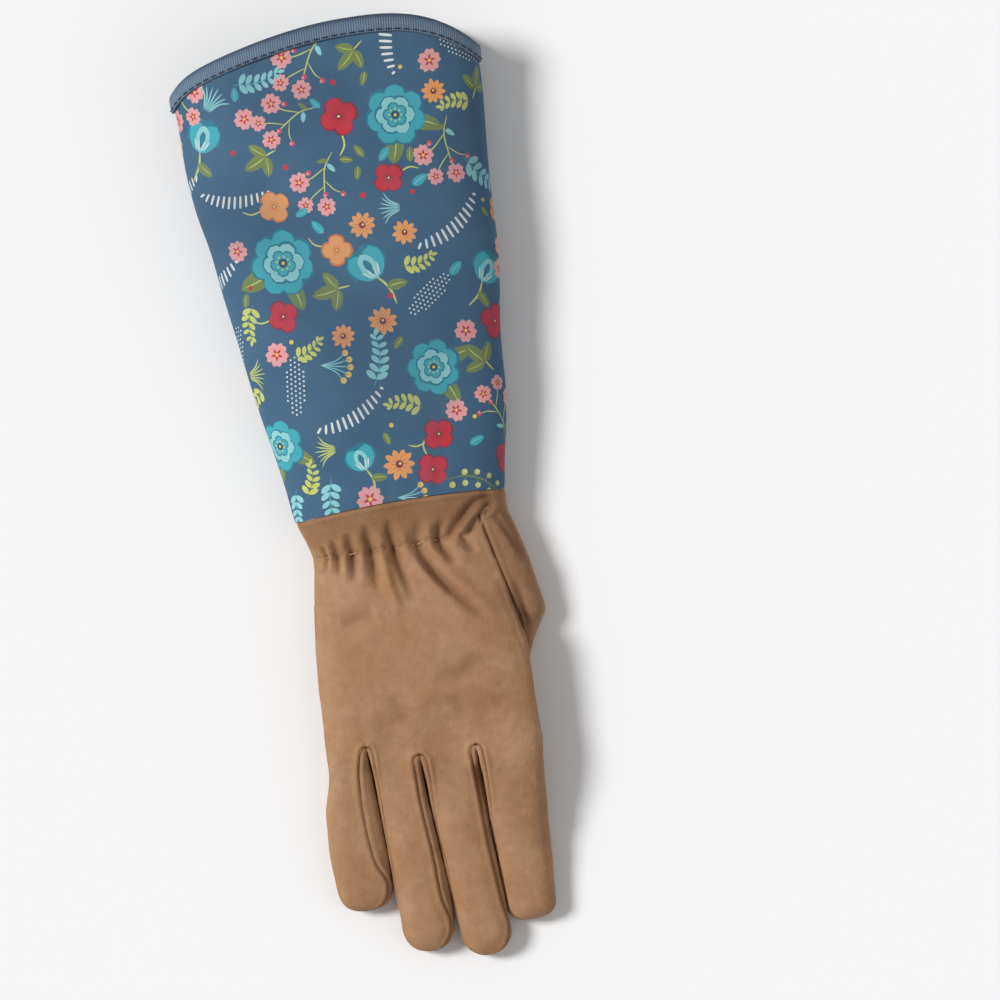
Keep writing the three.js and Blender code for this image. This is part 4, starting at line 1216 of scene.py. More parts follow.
class Print:
    """Flat shapes with their inks, later ones on top. Shapes are drawn about the pen's place."""

    def __init__(self, outline, seed):
        self.points, self.shapes, self.inks = [], [], []
        self.outline = outline
        self.draws = np.random.default_rng(seed)
        self.taken = []
        self.pen(0, 0, 0)
        self.shape(outline, "ground")

    def pen(self, s, y, turn, size=1.0):
        self.at, self.size, self.turned = np.array([s, y], float), size, spun(turn)

    def shape(self, points, ink):
        points = np.asarray(points, float) * self.size @ self.turned + self.at
        (x, y), (nx, ny) = points.T, np.roll(points, -1, 0).T
        if (x * ny - nx * y).sum() < 0:
            points = points[::-1]
        start = sum(len(p) for p in self.points)
        self.points.append(points)
        self.shapes.append(list(range(start, start + len(points))))
        self.inks.append(ink)

    def dot(self, x, y, radius, ink):
        count = 6 if radius * self.size < 0.9 else 10 if radius * self.size < 2.5 else 18
        angle = np.linspace(0, 2 * math.pi, count, endpoint=False)
        self.shape(radius * np.stack([np.cos(angle), np.sin(angle)], -1) + (x, y), ink)

    def stroke(self, path, width, ink, taper=0.3):
        """A brush line through a few points, thinner at its ends."""
        path = smooth_path(path, max(1.6, width * 0.8))
        along = np.gradient(path, axis=0)
        across = unit(np.stack([-along[:, 1], along[:, 0]], -1))
        share = np.linspace(0, 1, len(path))
        thick = width / 2 * mix(taper, 1, np.sin(np.pi * share) ** 0.6)
        left, right = path + across * thick[:, None], path - across * thick[:, None]
        self.shape(np.concatenate([left, right[::-1]]), ink)

    def leaf(self, x, y, turn, long, wide, ink, vein=None, count=7, full=0.42):
        """A leaf or petal that starts at a place and points along a turn."""
        t = np.linspace(0, 1, count)
        swell = (t / full) ** 0.8 * np.exp((1 - t / full) * 0.8) * np.sqrt(np.clip(1 - t**5, 0, 1))
        swell = wide / 2 * swell / swell.max()
        upper = np.stack([t * long, swell], -1)[1:-1]
        lower = np.stack([t * long, -swell], -1)[1:-1][::-1]
        blade = np.concatenate([[(0, 0)], upper, [(long, 0)], lower])
        self.shape(blade @ spun(turn) + (x, y), ink)
        if vein:
            line = np.array([(0.08 * long, 0.0), (0.5 * long, 0.03 * long), (0.86 * long, 0.0)])
            self.stroke(line @ spun(turn) + (x, y), max(0.035 * long, 0.35), vein)

    def petals(self, count, start, long, wide, ink, turn=0.0, full=0.62, tops=7, wobble=0.0):
        for k in range(count):
            angle = turn + 2 * math.pi * k / count + wobble * self.draws.uniform(-1, 1)
            self.leaf(*ray(start, angle), angle,
                      long * (1 + wobble * self.draws.uniform(-1, 1)), wide, ink,
                      count=tops, full=full)

    def spokes(self, count, near, far, width, ink, turn=0.0):
        """Lines that run outwards from a flower's heart."""
        for k in range(count):
            angle = turn + 2 * math.pi * k / count
            self.stroke([ray(near, angle), ray(far, angle)], width, ink)

    def cut(self, extra):
        """Triangles of the whole cloth, each with the ink that lies on top there."""
        points = np.concatenate(self.points + [extra])
        found = delaunay_2d_cdt([Vector(p) for p in points], [], self.shapes, 1, 1e-4, True)
        places = np.array([tuple(p) for p in found[0]])
        kept = [(face, max(owners)) for face, owners in zip(found[2], found[5])
                if 0 in owners and len(face) == 3]
        return places, np.array([face for face, _ in kept]), [self.inks[k] for _, k in kept]

    def room(self, s, y, radius):
        """Whether a motif of a radius fits here among those drawn so far."""
        return all((s - a) ** 2 + (y - b) ** 2 > (radius + r) ** 2 for a, b, r in self.taken)


def bloom(p):
    """A full round flower, three whorls of cupped petals, about 28 mm."""
    p.leaf(-3, -6, -2.2, 15, 8, "olive", "lime")
    p.leaf(5, -5, -0.7, 14, 7, "olive", "lime")
    p.petals(7, 3.0, 11.0, 10.5, "sea", 0.2, 0.66, 9, 0.05)
    p.petals(7, 3.0, 10.2, 9.0, "teal", 0.2, 0.66, 9, 0.05)
    p.petals(6, 1.5, 7.8, 8.0, "sea", 0.6, 0.66, 8, 0.05)
    p.petals(6, 1.5, 7.1, 6.6, "aqua", 0.6, 0.66, 8, 0.05)
    p.petals(5, 0.8, 5.0, 5.0, "sea", 0.1, 0.62)
    p.petals(5, 0.8, 4.4, 4.0, "teal", 0.1, 0.62)
    p.dot(0, 0, 1.9, "deep")
    for k in range(8):
        p.dot(*ray(2.7, 2 * math.pi * k / 8 + 0.3), 0.5, "lime")
    p.dot(0, 0, 0.8, "yellow")


def closed_bloom(p):
    """A half-open flower seen from the side, on a stem, about 22 mm."""
    p.stroke([(0, -3), (1.2, -10), (-0.6, -17)], 1.1, "lime")
    p.leaf(0.6, -9, -0.4, 9, 4.5, "olive", "lime")
    for x, y, turn, long, wide, ink in (
            (-8, 0, 0.95, 13, 8, "sea"), (8, 0, 2.2, 13, 8, "sea"), (0, -4, 1.15, 14, 9, "teal"),
            (0, -4, 1.95, 14, 9, "teal"), (0, -4, 1.57, 12, 7, "aqua")):
        p.leaf(x, y, turn, long, wide, ink, count=9, full=0.6)
    p.leaf(0, -2, 1.57, 7.5, 3, "sea", full=0.6)
    for x in (-5, -1.8, 1.8, 5):
        p.stroke([(x * 0.35, -3), (x * 0.8, 1.5)], 0.6, "white")


def daisy(p):
    """A flat daisy of ten narrow petals, about 14 mm."""
    p.petals(10, 1.1, 5.9, 2.7, "orange", 0.1, 0.6, 6, 0.06)
    p.spokes(10, 1.6, 3.7, 0.5, "amber", 0.1)
    p.dot(0, 0, 1.7, "wine")
    p.dot(0.3, 0.3, 0.7, "yellow")


def star_flower(p, x=0.0, y=0.0, turn=0.0, size=1.0):
    """A small pink flower of five heart-shaped petals, about 11 mm."""
    for k in range(5):
        angle = turn + 2 * math.pi * k / 5
        dx, dy = ray(0.6, angle)
        for side in (-0.28, 0.28):
            p.leaf(x + dx, y + dy, angle + side, 5.0 * size, 2.9 * size, "pink",
                   full=0.7, count=6)
    for k in range(5):
        angle = turn + 2 * math.pi * k / 5
        p.leaf(x, y, angle, 2.9 * size, 1.1 * size, "red", count=5)
    p.dot(x, y, 0.85 * size, "yellow")


def pink_spray(p):
    """Small pink flowers and buds on forked thin stems, about 34 mm."""
    p.stroke([(0, -17), (1, -8), (-2, 2), (-6, 11)], 0.75, "lime")
    p.stroke([(0.8, -8), (6, 0), (11, 4)], 0.65, "lime")
    p.stroke([(-1.2, -1), (-8, 2), (-12, 2)], 0.6, "lime")
    p.stroke([(-2, 2), (2, 9), (4, 14)], 0.6, "lime")
    p.leaf(0.8, -12, 0.5, 6, 2.6, "olive")
    p.leaf(0.4, -10, 2.7, 6, 2.6, "aqua")
    star_flower(p, -6.5, 12, 0.4, 0.95)
    star_flower(p, 11.5, 4.5, 1.0, 1.05)
    star_flower(p, 4.5, 15, 0.1, 0.8)
    for x, y in ((-13, 2.4), (-4, 6), (8.4, -2)):
        p.dot(x, y, 1.5, "rose")
        p.dot(x + 0.3, y + 0.6, 0.8, "pink")


def poppy(p, cup="red", inside="wine"):
    """An open cup of four broad petals with a dark heart, about 17 mm."""
    p.stroke([(1, -6), (3, -13), (1, -18)], 0.9, "lime")
    p.petals(4, 0.6, 8.6, 9.4, inside, 0.5, 0.64, 9, 0.05)
    p.petals(4, 0.6, 8.0, 8.0, cup, 0.5, 0.64, 9, 0.05)
    p.petals(4, 0.4, 5.4, 4.6, cup, 1.28, 0.62, 7)
    p.spokes(9, 1.4, 3.4, 0.45, inside)
    p.dot(0, 0, 1.5, inside)
    p.dot(0, 0, 0.7, "lime")


def fern(p, ink="aqua", stem="teal", pairs=6, long=26.0):
    """A bent sprig of paired round-ended leaves."""
    bend = [(0, -long / 2), (1.8, -long / 6), (1.2, long / 5), (-1.5, long / 2)]
    p.stroke(bend, 0.7, stem)
    path = smooth_path(bend, 0.5)
    for k in range(pairs):
        share = 0.16 + 0.78 * k / (pairs - 1)
        x, y = path[int(share * (len(path) - 1))]
        size = 7.4 * (1 - 0.45 * share)
        for side in (-1, 1):
            p.leaf(x, y, math.pi / 2 - side * 0.95, size, 0.47 * size, ink, full=0.62, count=6)
    p.leaf(*path[-1], math.pi / 2, 4.2, 2.1, ink, count=6)


def berries(p):
    """A long curved twig with round berries on both sides, about 40 mm."""
    bend = [(-19, -5), (-8, 2), (5, 3.5), (18, -2)]
    p.stroke(bend, 0.8, "olive")
    path = smooth_path(bend, 0.5)
    for k in range(11):
        x, y = path[int((0.1 + 0.88 * k / 10) * (len(path) - 1))]
        side = 1 if k % 2 else -1
        p.stroke([(x, y), (x + 1.2, y + side * 2.6)], 0.5, "olive")
        p.dot(x + 1.5, y + side * 3.4, 1.75 - 0.05 * k, "lime")
        p.dot(x + 1.9, y + side * 3.4 + 0.5, 0.45, "white")


def bars(p):
    """Thirteen short white bars side by side along a shallow arch."""
    for k in range(13):
        share = k / 12 * 2 - 1
        x, y = 17 * share, 4.2 * (1 - share**2)
        high = 2.9 * math.sqrt(max(1.04 - share**2, 0.05))
        lean = 0.4 + 0.9 * share
        p.stroke([(x - lean, y - high), (x + lean, y + high)], 1.15, "white", 0.75)


def dots(p):
    """Rows of small white dots in an oval patch."""
    for row in range(-2, 3):
        for k in range(-6, 7):
            x, y = k * 2.35 + (row % 2) * 1.17, row * 2.1
            if (x / 14.5) ** 2 + (y / 5.2) ** 2 < 1:
                p.dot(x, y, 0.52, "white")


def grass(p, ink="lime"):
    """A tuft of thin blades."""
    for k in range(7):
        lean = (k - 3) * 0.2
        tip = 11 - abs(k - 3) * 1.1
        p.stroke([((k - 3) * 0.5, -6), ((k - 3) * 0.9 + lean * 3, 0),
                  ((k - 3) * 1.1 + lean * 9, tip - 5)], 0.8, ink, 0.15)


def broad_leaves(p):
    """Three pointed leaves from one stalk."""
    p.stroke([(0, -9), (0.5, -2)], 0.8, "lime")
    for turn, long, wide, count in ((1.57, 13, 6.4, 9), (2.7, 10.5, 5.4, 8), (0.45, 10.5, 5.4, 8)):
        p.leaf(0, -3, turn, long, wide, "olive", "lime", count)


def buds(p):
    """Five round yellow buds on hair-thin stalks."""
    for k in range(5):
        x, y = ray(10, math.pi / 2 + (k - 2) * 0.42)
        p.stroke([(0, -6), (x * 0.4, y * 0.3), (x, y)], 0.55, "aqua")
        p.dot(x, y, 1.7, "yellow")
        p.dot(x, y - 0.6, 0.8, "orange")


# Where the large flowers go on the flat cloth: s, y, turn in degrees, size
LARGE = [
    (bloom, 30, 176, 20, 1.05), (bloom, -34, 118, -35, 1.12), (bloom, 26, 60, 60, 0.95),
    (bloom, -52, 36, 10, 0.9), (bloom, 96, 128, 80, 1.05), (bloom, -108, 168, 150, 1.05),
    (bloom, 150, 60, 30, 1.0), (bloom, -140, 84, 80, 1.0), (bloom, -92, 96, 200, 0.85),
    (closed_bloom, 6, 108, 28, 1.1), (closed_bloom, -62, 178, -24, 1.05),
    (closed_bloom, 58, 98, -38, 1.0), (closed_bloom, -14, 22, 18, 0.85),
    (closed_bloom, 112, 182, -60, 1.0), (closed_bloom, -120, 34, 50, 0.95),
    (closed_bloom, 128, 24, 40, 0.9),
]
# The smaller motifs that fill in between: motif, radius kept clear, how many, sizes
SMALL = [
    (bars, 13.0, 15, 0.85, 1.1), (pink_spray, 13.5, 12, 0.8, 1.0), (dots, 11.0, 15, 0.8, 1.0),
    (poppy, 8.5, 13, 0.75, 1.0), (lambda p: poppy(p, "orange", "amber"), 8.0, 9, 0.7, 0.9),
    (daisy, 7.2, 22, 0.8, 1.1), (fern, 9.5, 11, 0.75, 1.0), (berries, 13.0, 8, 0.7, 0.95),
    (broad_leaves, 8.0, 11, 0.8, 1.05),
    (lambda p: fern(p, "lime", "olive", 5, 20), 8.0, 10, 0.7, 0.9),
    (lambda p: star_flower(p, size=1.1), 6.2, 18, 0.8, 1.1),
    (buds, 9.0, 9, 0.75, 1.0), (grass, 7.5, 12, 0.8, 1.1),
    (lambda p: grass(p, "aqua"), 7.5, 10, 0.8, 1.0),
    (lambda p: p.leaf(-4, 0, 0, 9, 4.4, "teal", "aqua"), 4.2, 22, 0.7, 1.0),
    (lambda p: p.leaf(-4, 0, 0, 8, 3.8, "olive", "lime"), 3.8, 22, 0.7, 1.0),
    (lambda p: p.dot(0, 0, 1.5, "red"), 2.6, 18, 0.7, 1.0),
    (lambda p: p.dot(0, 0, 1.3, "yellow"), 2.4, 18, 0.7, 1.0),
]


# What fixes the random layout, the radius kept clear round the two large flowers, how many
# places are tried for each small motif, and where they lie: s either way, y from and to
PRINT_SEED = 11
BLOOM_REACH = 13.5
CLOSED_REACH = 10.5
TRIES = 40
PRINT_SIDE = 166
PRINT_RUN = (2, 214)


def cloth_print():
    cloth = Print(cloth_outline(), PRINT_SEED)
    for motif, s, y, turn, size in LARGE:
        cloth.taken.append((s, y, (BLOOM_REACH if motif is bloom else CLOSED_REACH) * size))
        cloth.pen(s, y, math.radians(turn), size)
        motif(cloth)
    draws = cloth.draws
    for motif, radius, count, least, most in SMALL:
        placed = 0
        for _ in range(count * TRIES):
            s, y = draws.uniform(-PRINT_SIDE, PRINT_SIDE), draws.uniform(*PRINT_RUN)
            turn, size = draws.uniform(0, 2 * math.pi), draws.uniform(least, most)
            if placed < count and cloth.room(s, y, radius * size):
                cloth.taken.append((s, y, radius * size))
                cloth.pen(s, y, turn, size)
                motif(cloth)
                placed += 1
    cloth.pen(0, 0, 0)
    return cloth


# The spacing of the extra points, and how far round either way they are laid out
CLOTH_STEP = 2.6
CLOTH_SIDE = 180


def cloth_grid(outline):
    """Extra points all over the cloth, well inside its outline."""
    s, y = np.meshgrid(np.arange(-CLOTH_SIDE, CLOTH_SIDE + 1, CLOTH_STEP),
                       np.arange(0, CUFF_LENGTH, CLOTH_STEP))
    s = s + (np.arange(s.shape[0]) % 2)[:, None] * CLOTH_STEP / 2
    places = np.stack([s.ravel(), y.ravel()], -1)
    places = places[inside_outline(places, outline)]
    off = distances(np.pad(places, ((0, 0), (0, 1))), np.pad(outline, ((0, 0), (0, 1))))
    return places[off > 0.7 * CLOTH_STEP]


def cloth_waves(flat, points):
    """How far the cloth swells: soft waves, pleats by the wrist, the ridge of its side seam."""
    s, y = flat.T
    half = np.interp(y, ROWS_OF_CLOTH, GIRTH[:, 0] - GIRTH[:, -1]) / 2
    middle = np.interp(y, ROWS_OF_CLOTH, GIRTH[:, -1] + GIRTH[:, 0]) / 2
    off = half - np.abs(s - middle)
    turn = cloth_turn(s, y)
    low, high = y - cuff_y(turn, 0), cuff_y(turn, 1) - y
    free = ease(low / 22) * ease(high / 14) * ease(off / 12)
    waves = grain(points, 46.0, 21.0) + 0.55 * np.sin(
        (s * 0.62 + y * 0.8 + 14 * grain(points, 60.0, 23.0)) / 9.5)
    pleats = (0.35 * np.sin(s / 1.9 + 2.2 * grain(points, 14.0, 25.0))
              * bell(low, 9) * ease(low / 3))
    below = high - BINDING_WIDTH
    tucks = (0.22 * np.sin(s / 1.6 + 2 * grain(points, 12.0, 27.0))
             * bell(below, 6) * ease(below / 2))
    seam = 0.7 * bell(off, 1.6) - 0.35 * bell(off - 4, 1.2)
    return waves * free * 0.9 + pleats + tucks + seam * ease(low / 3) * ease(high / 8)


# The colour of the cloth's unprinted inside
CLOTH_INSIDE = rgb(112, 132, 150)


def cuff_cloth():
    cloth = cloth_print()
    flat, faces, inks = cloth.cut(cloth_grid(cloth.outline))
    wall = Wall()
    wall.add(wrap(flat, 0.0), wrap(flat, CLOTH_WALL))
    wall.faces.append(faces)
    wall.settle()
    # The two sides of the seam hold the same places: they become one
    seam = {}
    same = np.arange(len(wall.out))
    for k, point in enumerate(np.round(wall.out, 3)):
        same[k] = seam.setdefault(tuple(point), k)
    wall.face = same[wall.face]
    alive = (wall.face[:, 0] != wall.face[:, 1]) & (wall.face[:, 1] != wall.face[:, 2]) & (
        wall.face[:, 2] != wall.face[:, 0])
    wall.face = wall.face[alive]
    inks = [ink for ink, there in zip(inks, alive) if there]
    wall.press(cloth_waves(flat, wall.out))
    laid = {"across": flat[:, 0] * MM, "along": flat[:, 1] * MM}
    piece = wall.build("cuff_cloth", laid, even=True)
    mesh = piece.data
    colours = np.tile(np.array(CLOTH_INSIDE), (len(mesh.polygons), 1))
    colours[:len(inks)] = [INKS[ink] for ink in inks]
    corners = [p.loop_total for p in mesh.polygons]
    mark(mesh, "ink", np.repeat(colours, corners, 0), "FLOAT_COLOR", "CORNER", "color")
    return piece


# The step of the cloth's diagonal ribs and of its threads, in metres
TWILL = 0.0009
THREADS = 0.0006


def printed_twill():
    f = Finish("printed_twill")
    ink = f.attribute("ink", "Color")
    across, along = f.attribute("across"), f.attribute("along")
    twill = ((across + along) * (2 * math.pi / TWILL)).sine() * 0.35 + 0.5
    threads = (along * (2 * math.pi / THREADS)).sine() * 0.15
    colour = f.layers(
        ink,
        ((f.cloudy(0.02) * 0.25).clamped(), INKS["deep"]),
        (f.patches(0.03, 3.0, 0.6, 0.35, 0.65) * 0.14, rgb(104, 134, 156)),
        (f.patches(0.05, 1.0, 0.5, 0.45, 0.7) * 0.3, INKS["deep"]),
        (twill * 0.1, rgb(150, 168, 182)))
    return f.set(Base_Color=colour, Roughness=0.85, Specular_IOR_Level=0.3,
                 Normal=f.bump(twill + threads, 0.0002, 0.5))


cuff = dress(cuff_cloth(), printed_twill(), "cuff_sleeve")


# Rim tape: how many faces it has round the rim, and the step of its ribs in millimetres

TAPE_STEPS = 900
TAPE_RIB = 1.15


def tape_profile():
    """The folded tape's section: (beyond the cloth's edge, inset), once round."""
    near, far = SEAM_GAP, SEAM_GAP + BINDING_WALL
    inside = CLOTH_WALL + near
    return np.array([
        (-BINDING_WIDTH, -far + 0.35), (-BINDING_WIDTH + 0.5, -far), (-5, -far - 0.1),
        (-3, -far - 0.25), (-1, -far - 0.2), (near, -far + 0.1), (0.85 * far, -near - 0.1),
        (far, CLOTH_WALL * 0.5), (0.85 * far, inside + 0.1), (near, CLOTH_WALL + far),
        (-3, CLOTH_WALL + far), (-BINDING_WIDTH, CLOTH_WALL + far), (-BINDING_WIDTH, inside),
        (near * 0.8, inside), (near * 0.8, -near), (-BINDING_WIDTH, -near)])


def rim_tape():
    turns = np.linspace(0, 2 * math.pi, TAPE_STEPS, endpoint=False)
    profile = tape_profile()
    points = cuff_point(turns[:, None], 1.0, profile[None, :, 1], profile[None, :, 0])
    points[..., 2] = np.maximum(points[..., 2], FLOOR_CLEAR)
    count, width = points.shape[:2]
    index = np.arange(count * width).reshape(count, width)
    around = np.roll(index, -1, 0)
    faces = np.stack([index, around, np.roll(around, -1, 1), np.roll(index, -1, 1)], -1)
    mesh = bpy.data.meshes.new("rim_tape")
    mesh.from_pydata(place(points.reshape(-1, 3)), [], faces.reshape(-1, 4).tolist())
    mark(mesh, "along", np.repeat(lengths_along(points[:, 3]), width))
    # Painted shade on the tape's folded top edge and along its lower edge
    fold = bell(profile[:, 0] - 1.0, 1.8) + 0.4 * (profile[:, 0] < -6.8)
    mark(mesh, "fold", np.tile(fold, count))
    turn_outwards(mesh)
    return add_object("rim_tape", mesh)


def turn_outwards(mesh):
    """Turns a closed mesh of four-sided faces right side out, and shades it smooth."""
    volume = 0.0
    for polygon in mesh.polygons:
        a, b, c, d = (mesh.vertices[k].co for k in polygon.vertices)
        volume += a.dot(b.cross(c)) + a.dot(c.cross(d))
    if volume < 0:
        mesh.flip_normals()
    mesh.polygons.foreach_set("use_smooth", np.ones(len(mesh.polygons), bool))


def ribbed_tape():
    f = Finish("ribbed_tape")
    rib = (f.attribute("along") * (2 * math.pi / TAPE_RIB)).sine() * 0.5 + 0.5
    colour = f.layers(
        rgb(74, 98, 122),
        ((rib * 0.6 + f.cloudy(0.004) * 0.3).clamped(), rgb(124, 144, 164)),
        # Painted shade: darker where the fold mark lies
        ((f.attribute("fold") * 0.85).clamped(), rgb(38, 50, 70)))
    return f.set(Base_Color=colour, Roughness=0.7, Specular_IOR_Level=0.35,
                 Normal=f.bump(rib, 0.0004, 0.6))


tape = dress(rim_tape(), ribbed_tape(), "rim_binding")


# Stitches

def thread_tree():
    """A Geometry Nodes tree that turns each edge of a mesh into one arched stitch."""
    tree = bpy.data.node_groups.new("stitches", "GeometryNodeTree")
    for name, kind, way in (("Edges", "NodeSocketGeometry", "INPUT"),
                            ("Thickness", "NodeSocketFloat", "INPUT"),
                            ("Fill", "NodeSocketFloat", "INPUT"),
                            ("Arch", "NodeSocketFloat", "INPUT"),
                            ("Thread", "NodeSocketMaterial", "INPUT"),
                            ("Stitches", "NodeSocketGeometry", "OUTPUT")):
        tree.interface.new_socket(name, in_out=way, socket_type=kind)

    def node(kind, inputs=None, **settings):
        made = tree.nodes.new(kind)
        for key, value in settings.items():
            setattr(made, key, value)
        for key, value in (inputs or {}).items():
            if isinstance(value, bpy.types.NodeSocket):
                tree.links.new(value, made.inputs[key])
            else:
                made.inputs[key].default_value = value
        return made

    def maths(how, a, b=0.0):
        return node("ShaderNodeMath", {0: a, 1: b}, operation=how).outputs[0]

    given = tree.nodes.new("NodeGroupInput").outputs
    line = node("GeometryNodeMeshToCurve", {"Mesh": given["Edges"]}).outputs[0]
    spare = maths("MULTIPLY", maths("SUBTRACT", 1.0, given["Fill"]), 0.5)
    trimmed = node("GeometryNodeTrimCurve", {
        "Curve": line, 2: spare, 3: maths("SUBTRACT", 1.0, spare)}, mode="FACTOR").outputs[0]
    steps = node("GeometryNodeResampleCurve", {"Curve": trimmed, "Count": 5}).outputs[0]
    share = node("GeometryNodeSplineParameter").outputs["Factor"]
    arch = maths("MULTIPLY", maths("SINE", maths("MULTIPLY", share, math.pi)), given["Arch"])
    up = node("GeometryNodeInputNamedAttribute", {"Name": "up"},
              data_type="FLOAT_VECTOR").outputs["Attribute"]
    offset = node("ShaderNodeVectorMath", {0: up, "Scale": arch}, operation="SCALE").outputs[0]
    arched = node("GeometryNodeSetPosition", {"Geometry": steps, "Offset": offset}).outputs[0]
    ring = node("GeometryNodeCurvePrimitiveCircle", {
        "Resolution": 6, "Radius": maths("MULTIPLY", given["Thickness"], 0.5)}).outputs[0]
    tube = node("GeometryNodeCurveToMesh", {
        "Curve": arched, "Profile Curve": ring, "Fill Caps": True}).outputs[0]
    smooth = node("GeometryNodeSetShadeSmooth", {0: tube}).outputs[0]
    real = node("GeometryNodeRealizeInstances", {0: smooth}).outputs[0]
    dressed = node("GeometryNodeSetMaterial", {
        "Geometry": real, "Material": given["Thread"]}).outputs[0]
    tree.links.new(dressed, tree.nodes.new("NodeGroupOutput").inputs[0])
    return tree


STITCHES = thread_tree()
# Below this height, in metres, a stitch doesn't arch down towards the floor
NEAR_FLOOR = 0.0015
# How clear of the leather a stitch starts, and from how far its place is looked for
STITCH_CLEAR = 0.0001
CAST = 0.2
# How many places round the rim its stitches run through
RIM_STITCHES = 83


def thread(name, colour, shade):
    f = Finish(name)
    strand = f.cloudy(0.0006, 2.0, 0.6)
    return f.set(Base_Color=f.layers(colour, (strand * 0.6, shade)), Roughness=0.65,
                 Normal=f.bump(strand, 0.0001, 0.4))


def stitches(name, rows, material, thickness, fill, arch):
    """Real stitches, one for each pair of neighbouring points in the rows of (places, normals)."""
    points, ups = [], []
    for row, up in rows:
        for k in range(len(row) - 1):
            points += [row[k], row[k + 1]]
            ups += [up[k], up[k + 1]]
    mesh = bpy.data.meshes.new(name)
    edges = [(2 * k, 2 * k + 1) for k in range(len(points) // 2)]
    points = np.array(points)
    ups = np.array(ups)
    points[:, 2] = np.maximum(points[:, 2], thickness / 2)
    ups[points[:, 2] < NEAR_FLOOR, 2] = 0
    mesh.from_pydata(points.tolist(), edges, [])
    mark(mesh, "up", ups, "FLOAT_VECTOR", field="vector")
    piece = add_object(name, mesh)
    maker = piece.modifiers.new("stitches", "NODES")
    maker.node_group = STITCHES
    for key, value in (("Thickness", thickness), ("Fill", fill), ("Arch", arch),
                       ("Thread", material)):
        maker[STITCHES.interface.items_tree[key].identifier] = value
    done = piece.evaluated_get(bpy.context.evaluated_depsgraph_get())
    plain = bpy.data.meshes.new_from_object(done)
    piece.modifiers.clear()
    piece.data = plain
    plain.name = name
    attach(piece, "root")
    return piece


def even(path, step):
    """A path's places at even steps, with which way it runs."""
    path = smooth_path(path) if len(path) > 2 else np.array(path, float)
    gone = lengths_along(path)
    at = np.linspace(0, gone[-1], max(int(round(gone[-1] / step)), 1) + 1)
    places = np.stack([np.interp(at, gone, path[:, k]) for k in (0, 1)], -1)
    return places, unit(np.gradient(places, axis=0))


def laid_on(pieces, places, from_z):
    """Where places seen from above or below meet the pieces, a little clear of them."""
    points, faces = [], []
    for piece in pieces:
        faces += [[k + len(points) for k in p.vertices] for p in piece.data.polygons]
        points += [v.co for v in piece.data.vertices]
    skin = BVHTree.FromPolygons(points, faces)
    found, ups = [], []
    for x, y in place(np.pad(places, ((0, 0), (0, 1))))[:, :2]:
        hit, normal, _, _ = skin.ray_cast(Vector((x, y, from_z)), Vector((0, 0, -from_z)))
        if hit is not None and abs(normal.z) > 0.7:
            found.append(hit + normal * STITCH_CLEAR)
            ups.append(normal)
    return found, ups


def zigzag(path, step, wide):
    """Places along a path, by turns left and right of it."""
    places, way = even(path, step)
    aside = np.stack([-way[:, 1], way[:, 0]], -1) * wide / 2
    return places + aside * (-1.0) ** np.arange(len(places))[:, None]


def rim_stitches():
    """One row all round the tape, just above its lower edge."""
    girth = np.linspace(0, 2 * math.pi, 2400, endpoint=False)
    far = -(SEAM_GAP + BINDING_WALL)
    down = -(BINDING_WIDTH - 1.1)

    def around(angles, inset):
        return place(cuff_point(angles, 1.0, inset, down))

    ring = around(girth, far)
    gone = lengths_along(ring)[1:]
    angles = np.interp(np.linspace(0, gone[-1], RIM_STITCHES), gone, girth[1:])
    ring, out = around(angles, far - 0.15), around(angles, far - 1.15)
    return list(ring), list(unit(out - ring))


# The zigzag rows that hold the palm patch down: along its notches and above the fingers
PATCH_ROWS = [
    np.concatenate([WRIST_NOTCH[8:], WRIST_NOTCH[:1]]) * NOTCH_SCALE,
    WRIST_NOTCH[:6] * NOTCH_SCALE,
    SIDE_NOTCH[:4] * NOTCH_SCALE, SIDE_NOTCH[3:] * NOTCH_SCALE,
    np.array([(-46, -105), (-34, -98.6), (-10.5, -106.4), (15.5, -105.9), (44, -104.5)]),
]


def all_stitches():
    pale = thread("pale_thread", LIGHT_TAN, rgb(168, 130, 94))
    navy = thread("navy_thread", rgb(20, 32, 52), rgb(44, 60, 84))
    under = [leather["palm_patch"], leather["hand_palm"]]
    stitches("rim_stitches", [rim_stitches()], navy, 0.0006, 0.66, 0.0003)
    elastic = laid_on([leather["hand_back"]], even(ELASTIC, 2.1)[0], CAST)
    stitches("elastic_stitches", [elastic], pale, 0.00036, 0.6, 0.00015)
    zigzags = [laid_on(under, zigzag(row, 1.5, 2.2), -CAST) for row in PATCH_ROWS]
    stitches("patch_stitches", zigzags, pale, 0.0004, 0.95, 0.00008)


all_stitches()


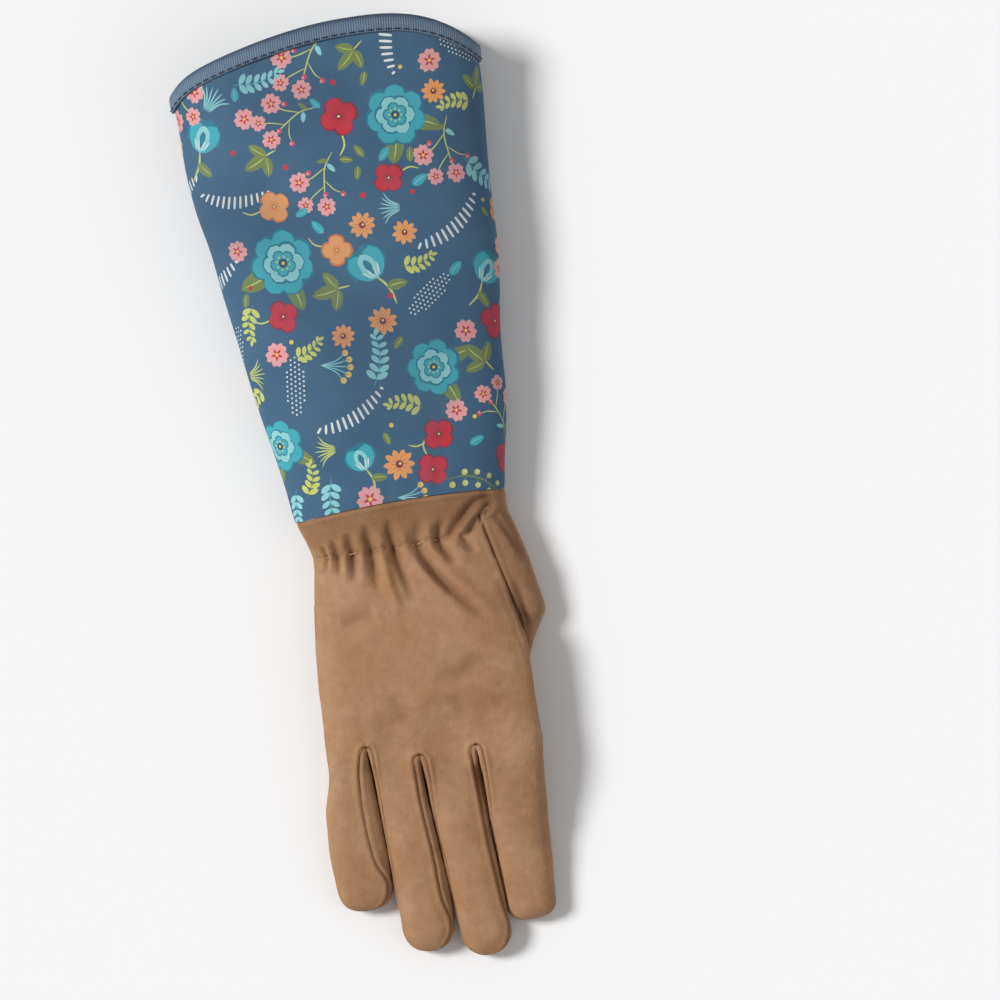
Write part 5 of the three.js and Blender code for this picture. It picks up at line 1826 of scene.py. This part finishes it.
# What each sewn sheet was cut to: width and length in millimetres, the cut's own area in
# square millimetres, and how it is held
for piece, width, length, area, held in (
        (cuff, 325, 222, 59400, "laid"),
        (tape, 335, 17, 5690, "folded"),
        (leather["hand_back"], 122, 218, 21500, "gathered"),
        (leather["hand_palm"], 116, 213, 19700, "laid"),
        (leather["gusset_little_ring"], 16, 160, 2260, "folded"),
        (leather["gusset_ring_middle"], 14, 186, 2260, "folded"),
        (leather["gusset_middle_index"], 14, 180, 2060, "folded"),
        (leather["thumb_outer"], 45, 128, 4450, "folded"),
        (leather["thumb_inner"], 42, 126, 3700, "folded"),
        (leather["palm_patch"], 90, 88, 5700, "laid")):
    width * MM
    length * MM
    area * MM * MM


# Studio: the camera's height in metres, what it looks down on in the working axes, its turn,
# and how many millimetres wide it sees there

CAMERA_HEIGHT = 6.0
CAMERA_OVER = (45.1, -4.85)
CAMERA_TURN = math.radians(-9.6)
SENSOR = 36
VIEW_WIDTH = 457.5
# The suns: degrees of tilt, turn and softness, and strength
SUNS = [("soft_key", 47, 156, 18, 2.75), ("soft_fill", 50, -20, 50, 0.3)]
SKY = 0.34


def studio():
    bpy.ops.mesh.primitive_plane_add(size=6, location=(0, 0, -0.0002))
    floor = bpy.context.object
    floor.name = "studio_floor"
    white = Finish("studio_white")
    white.set(Base_Color=rgb(246, 246, 246), Roughness=0.9)
    floor.data.materials.append(white.material)
    spot = place([CAMERA_OVER[0], CAMERA_OVER[1], 12.0])
    camera = add_object("camera", bpy.data.cameras.new("camera"))
    camera.location = (spot[0], spot[1], spot[2] + CAMERA_HEIGHT)
    camera.rotation_euler = (0, 0, CAMERA_TURN)
    camera.data.sensor_width = SENSOR
    camera.data.lens = SENSOR * CAMERA_HEIGHT / (VIEW_WIDTH * MM)
    bpy.context.scene.camera = camera
    for name, tilt, turn, softness, strength in SUNS:
        light = bpy.data.lights.new(name, "SUN")
        light.angle, light.energy = math.radians(softness), strength
        lamp = add_object(name, light)
        lamp.rotation_euler = (math.radians(tilt), 0, math.radians(turn + 90))
    world = bpy.data.worlds.new("studio")
    bpy.context.scene.world = world
    world.use_nodes = True
    background = world.node_tree.nodes["Background"]
    background.inputs[0].default_value = (1, 1, 1, 1)
    background.inputs[1].default_value = SKY
    bpy.context.scene.view_settings.view_transform = "Standard"


studio()
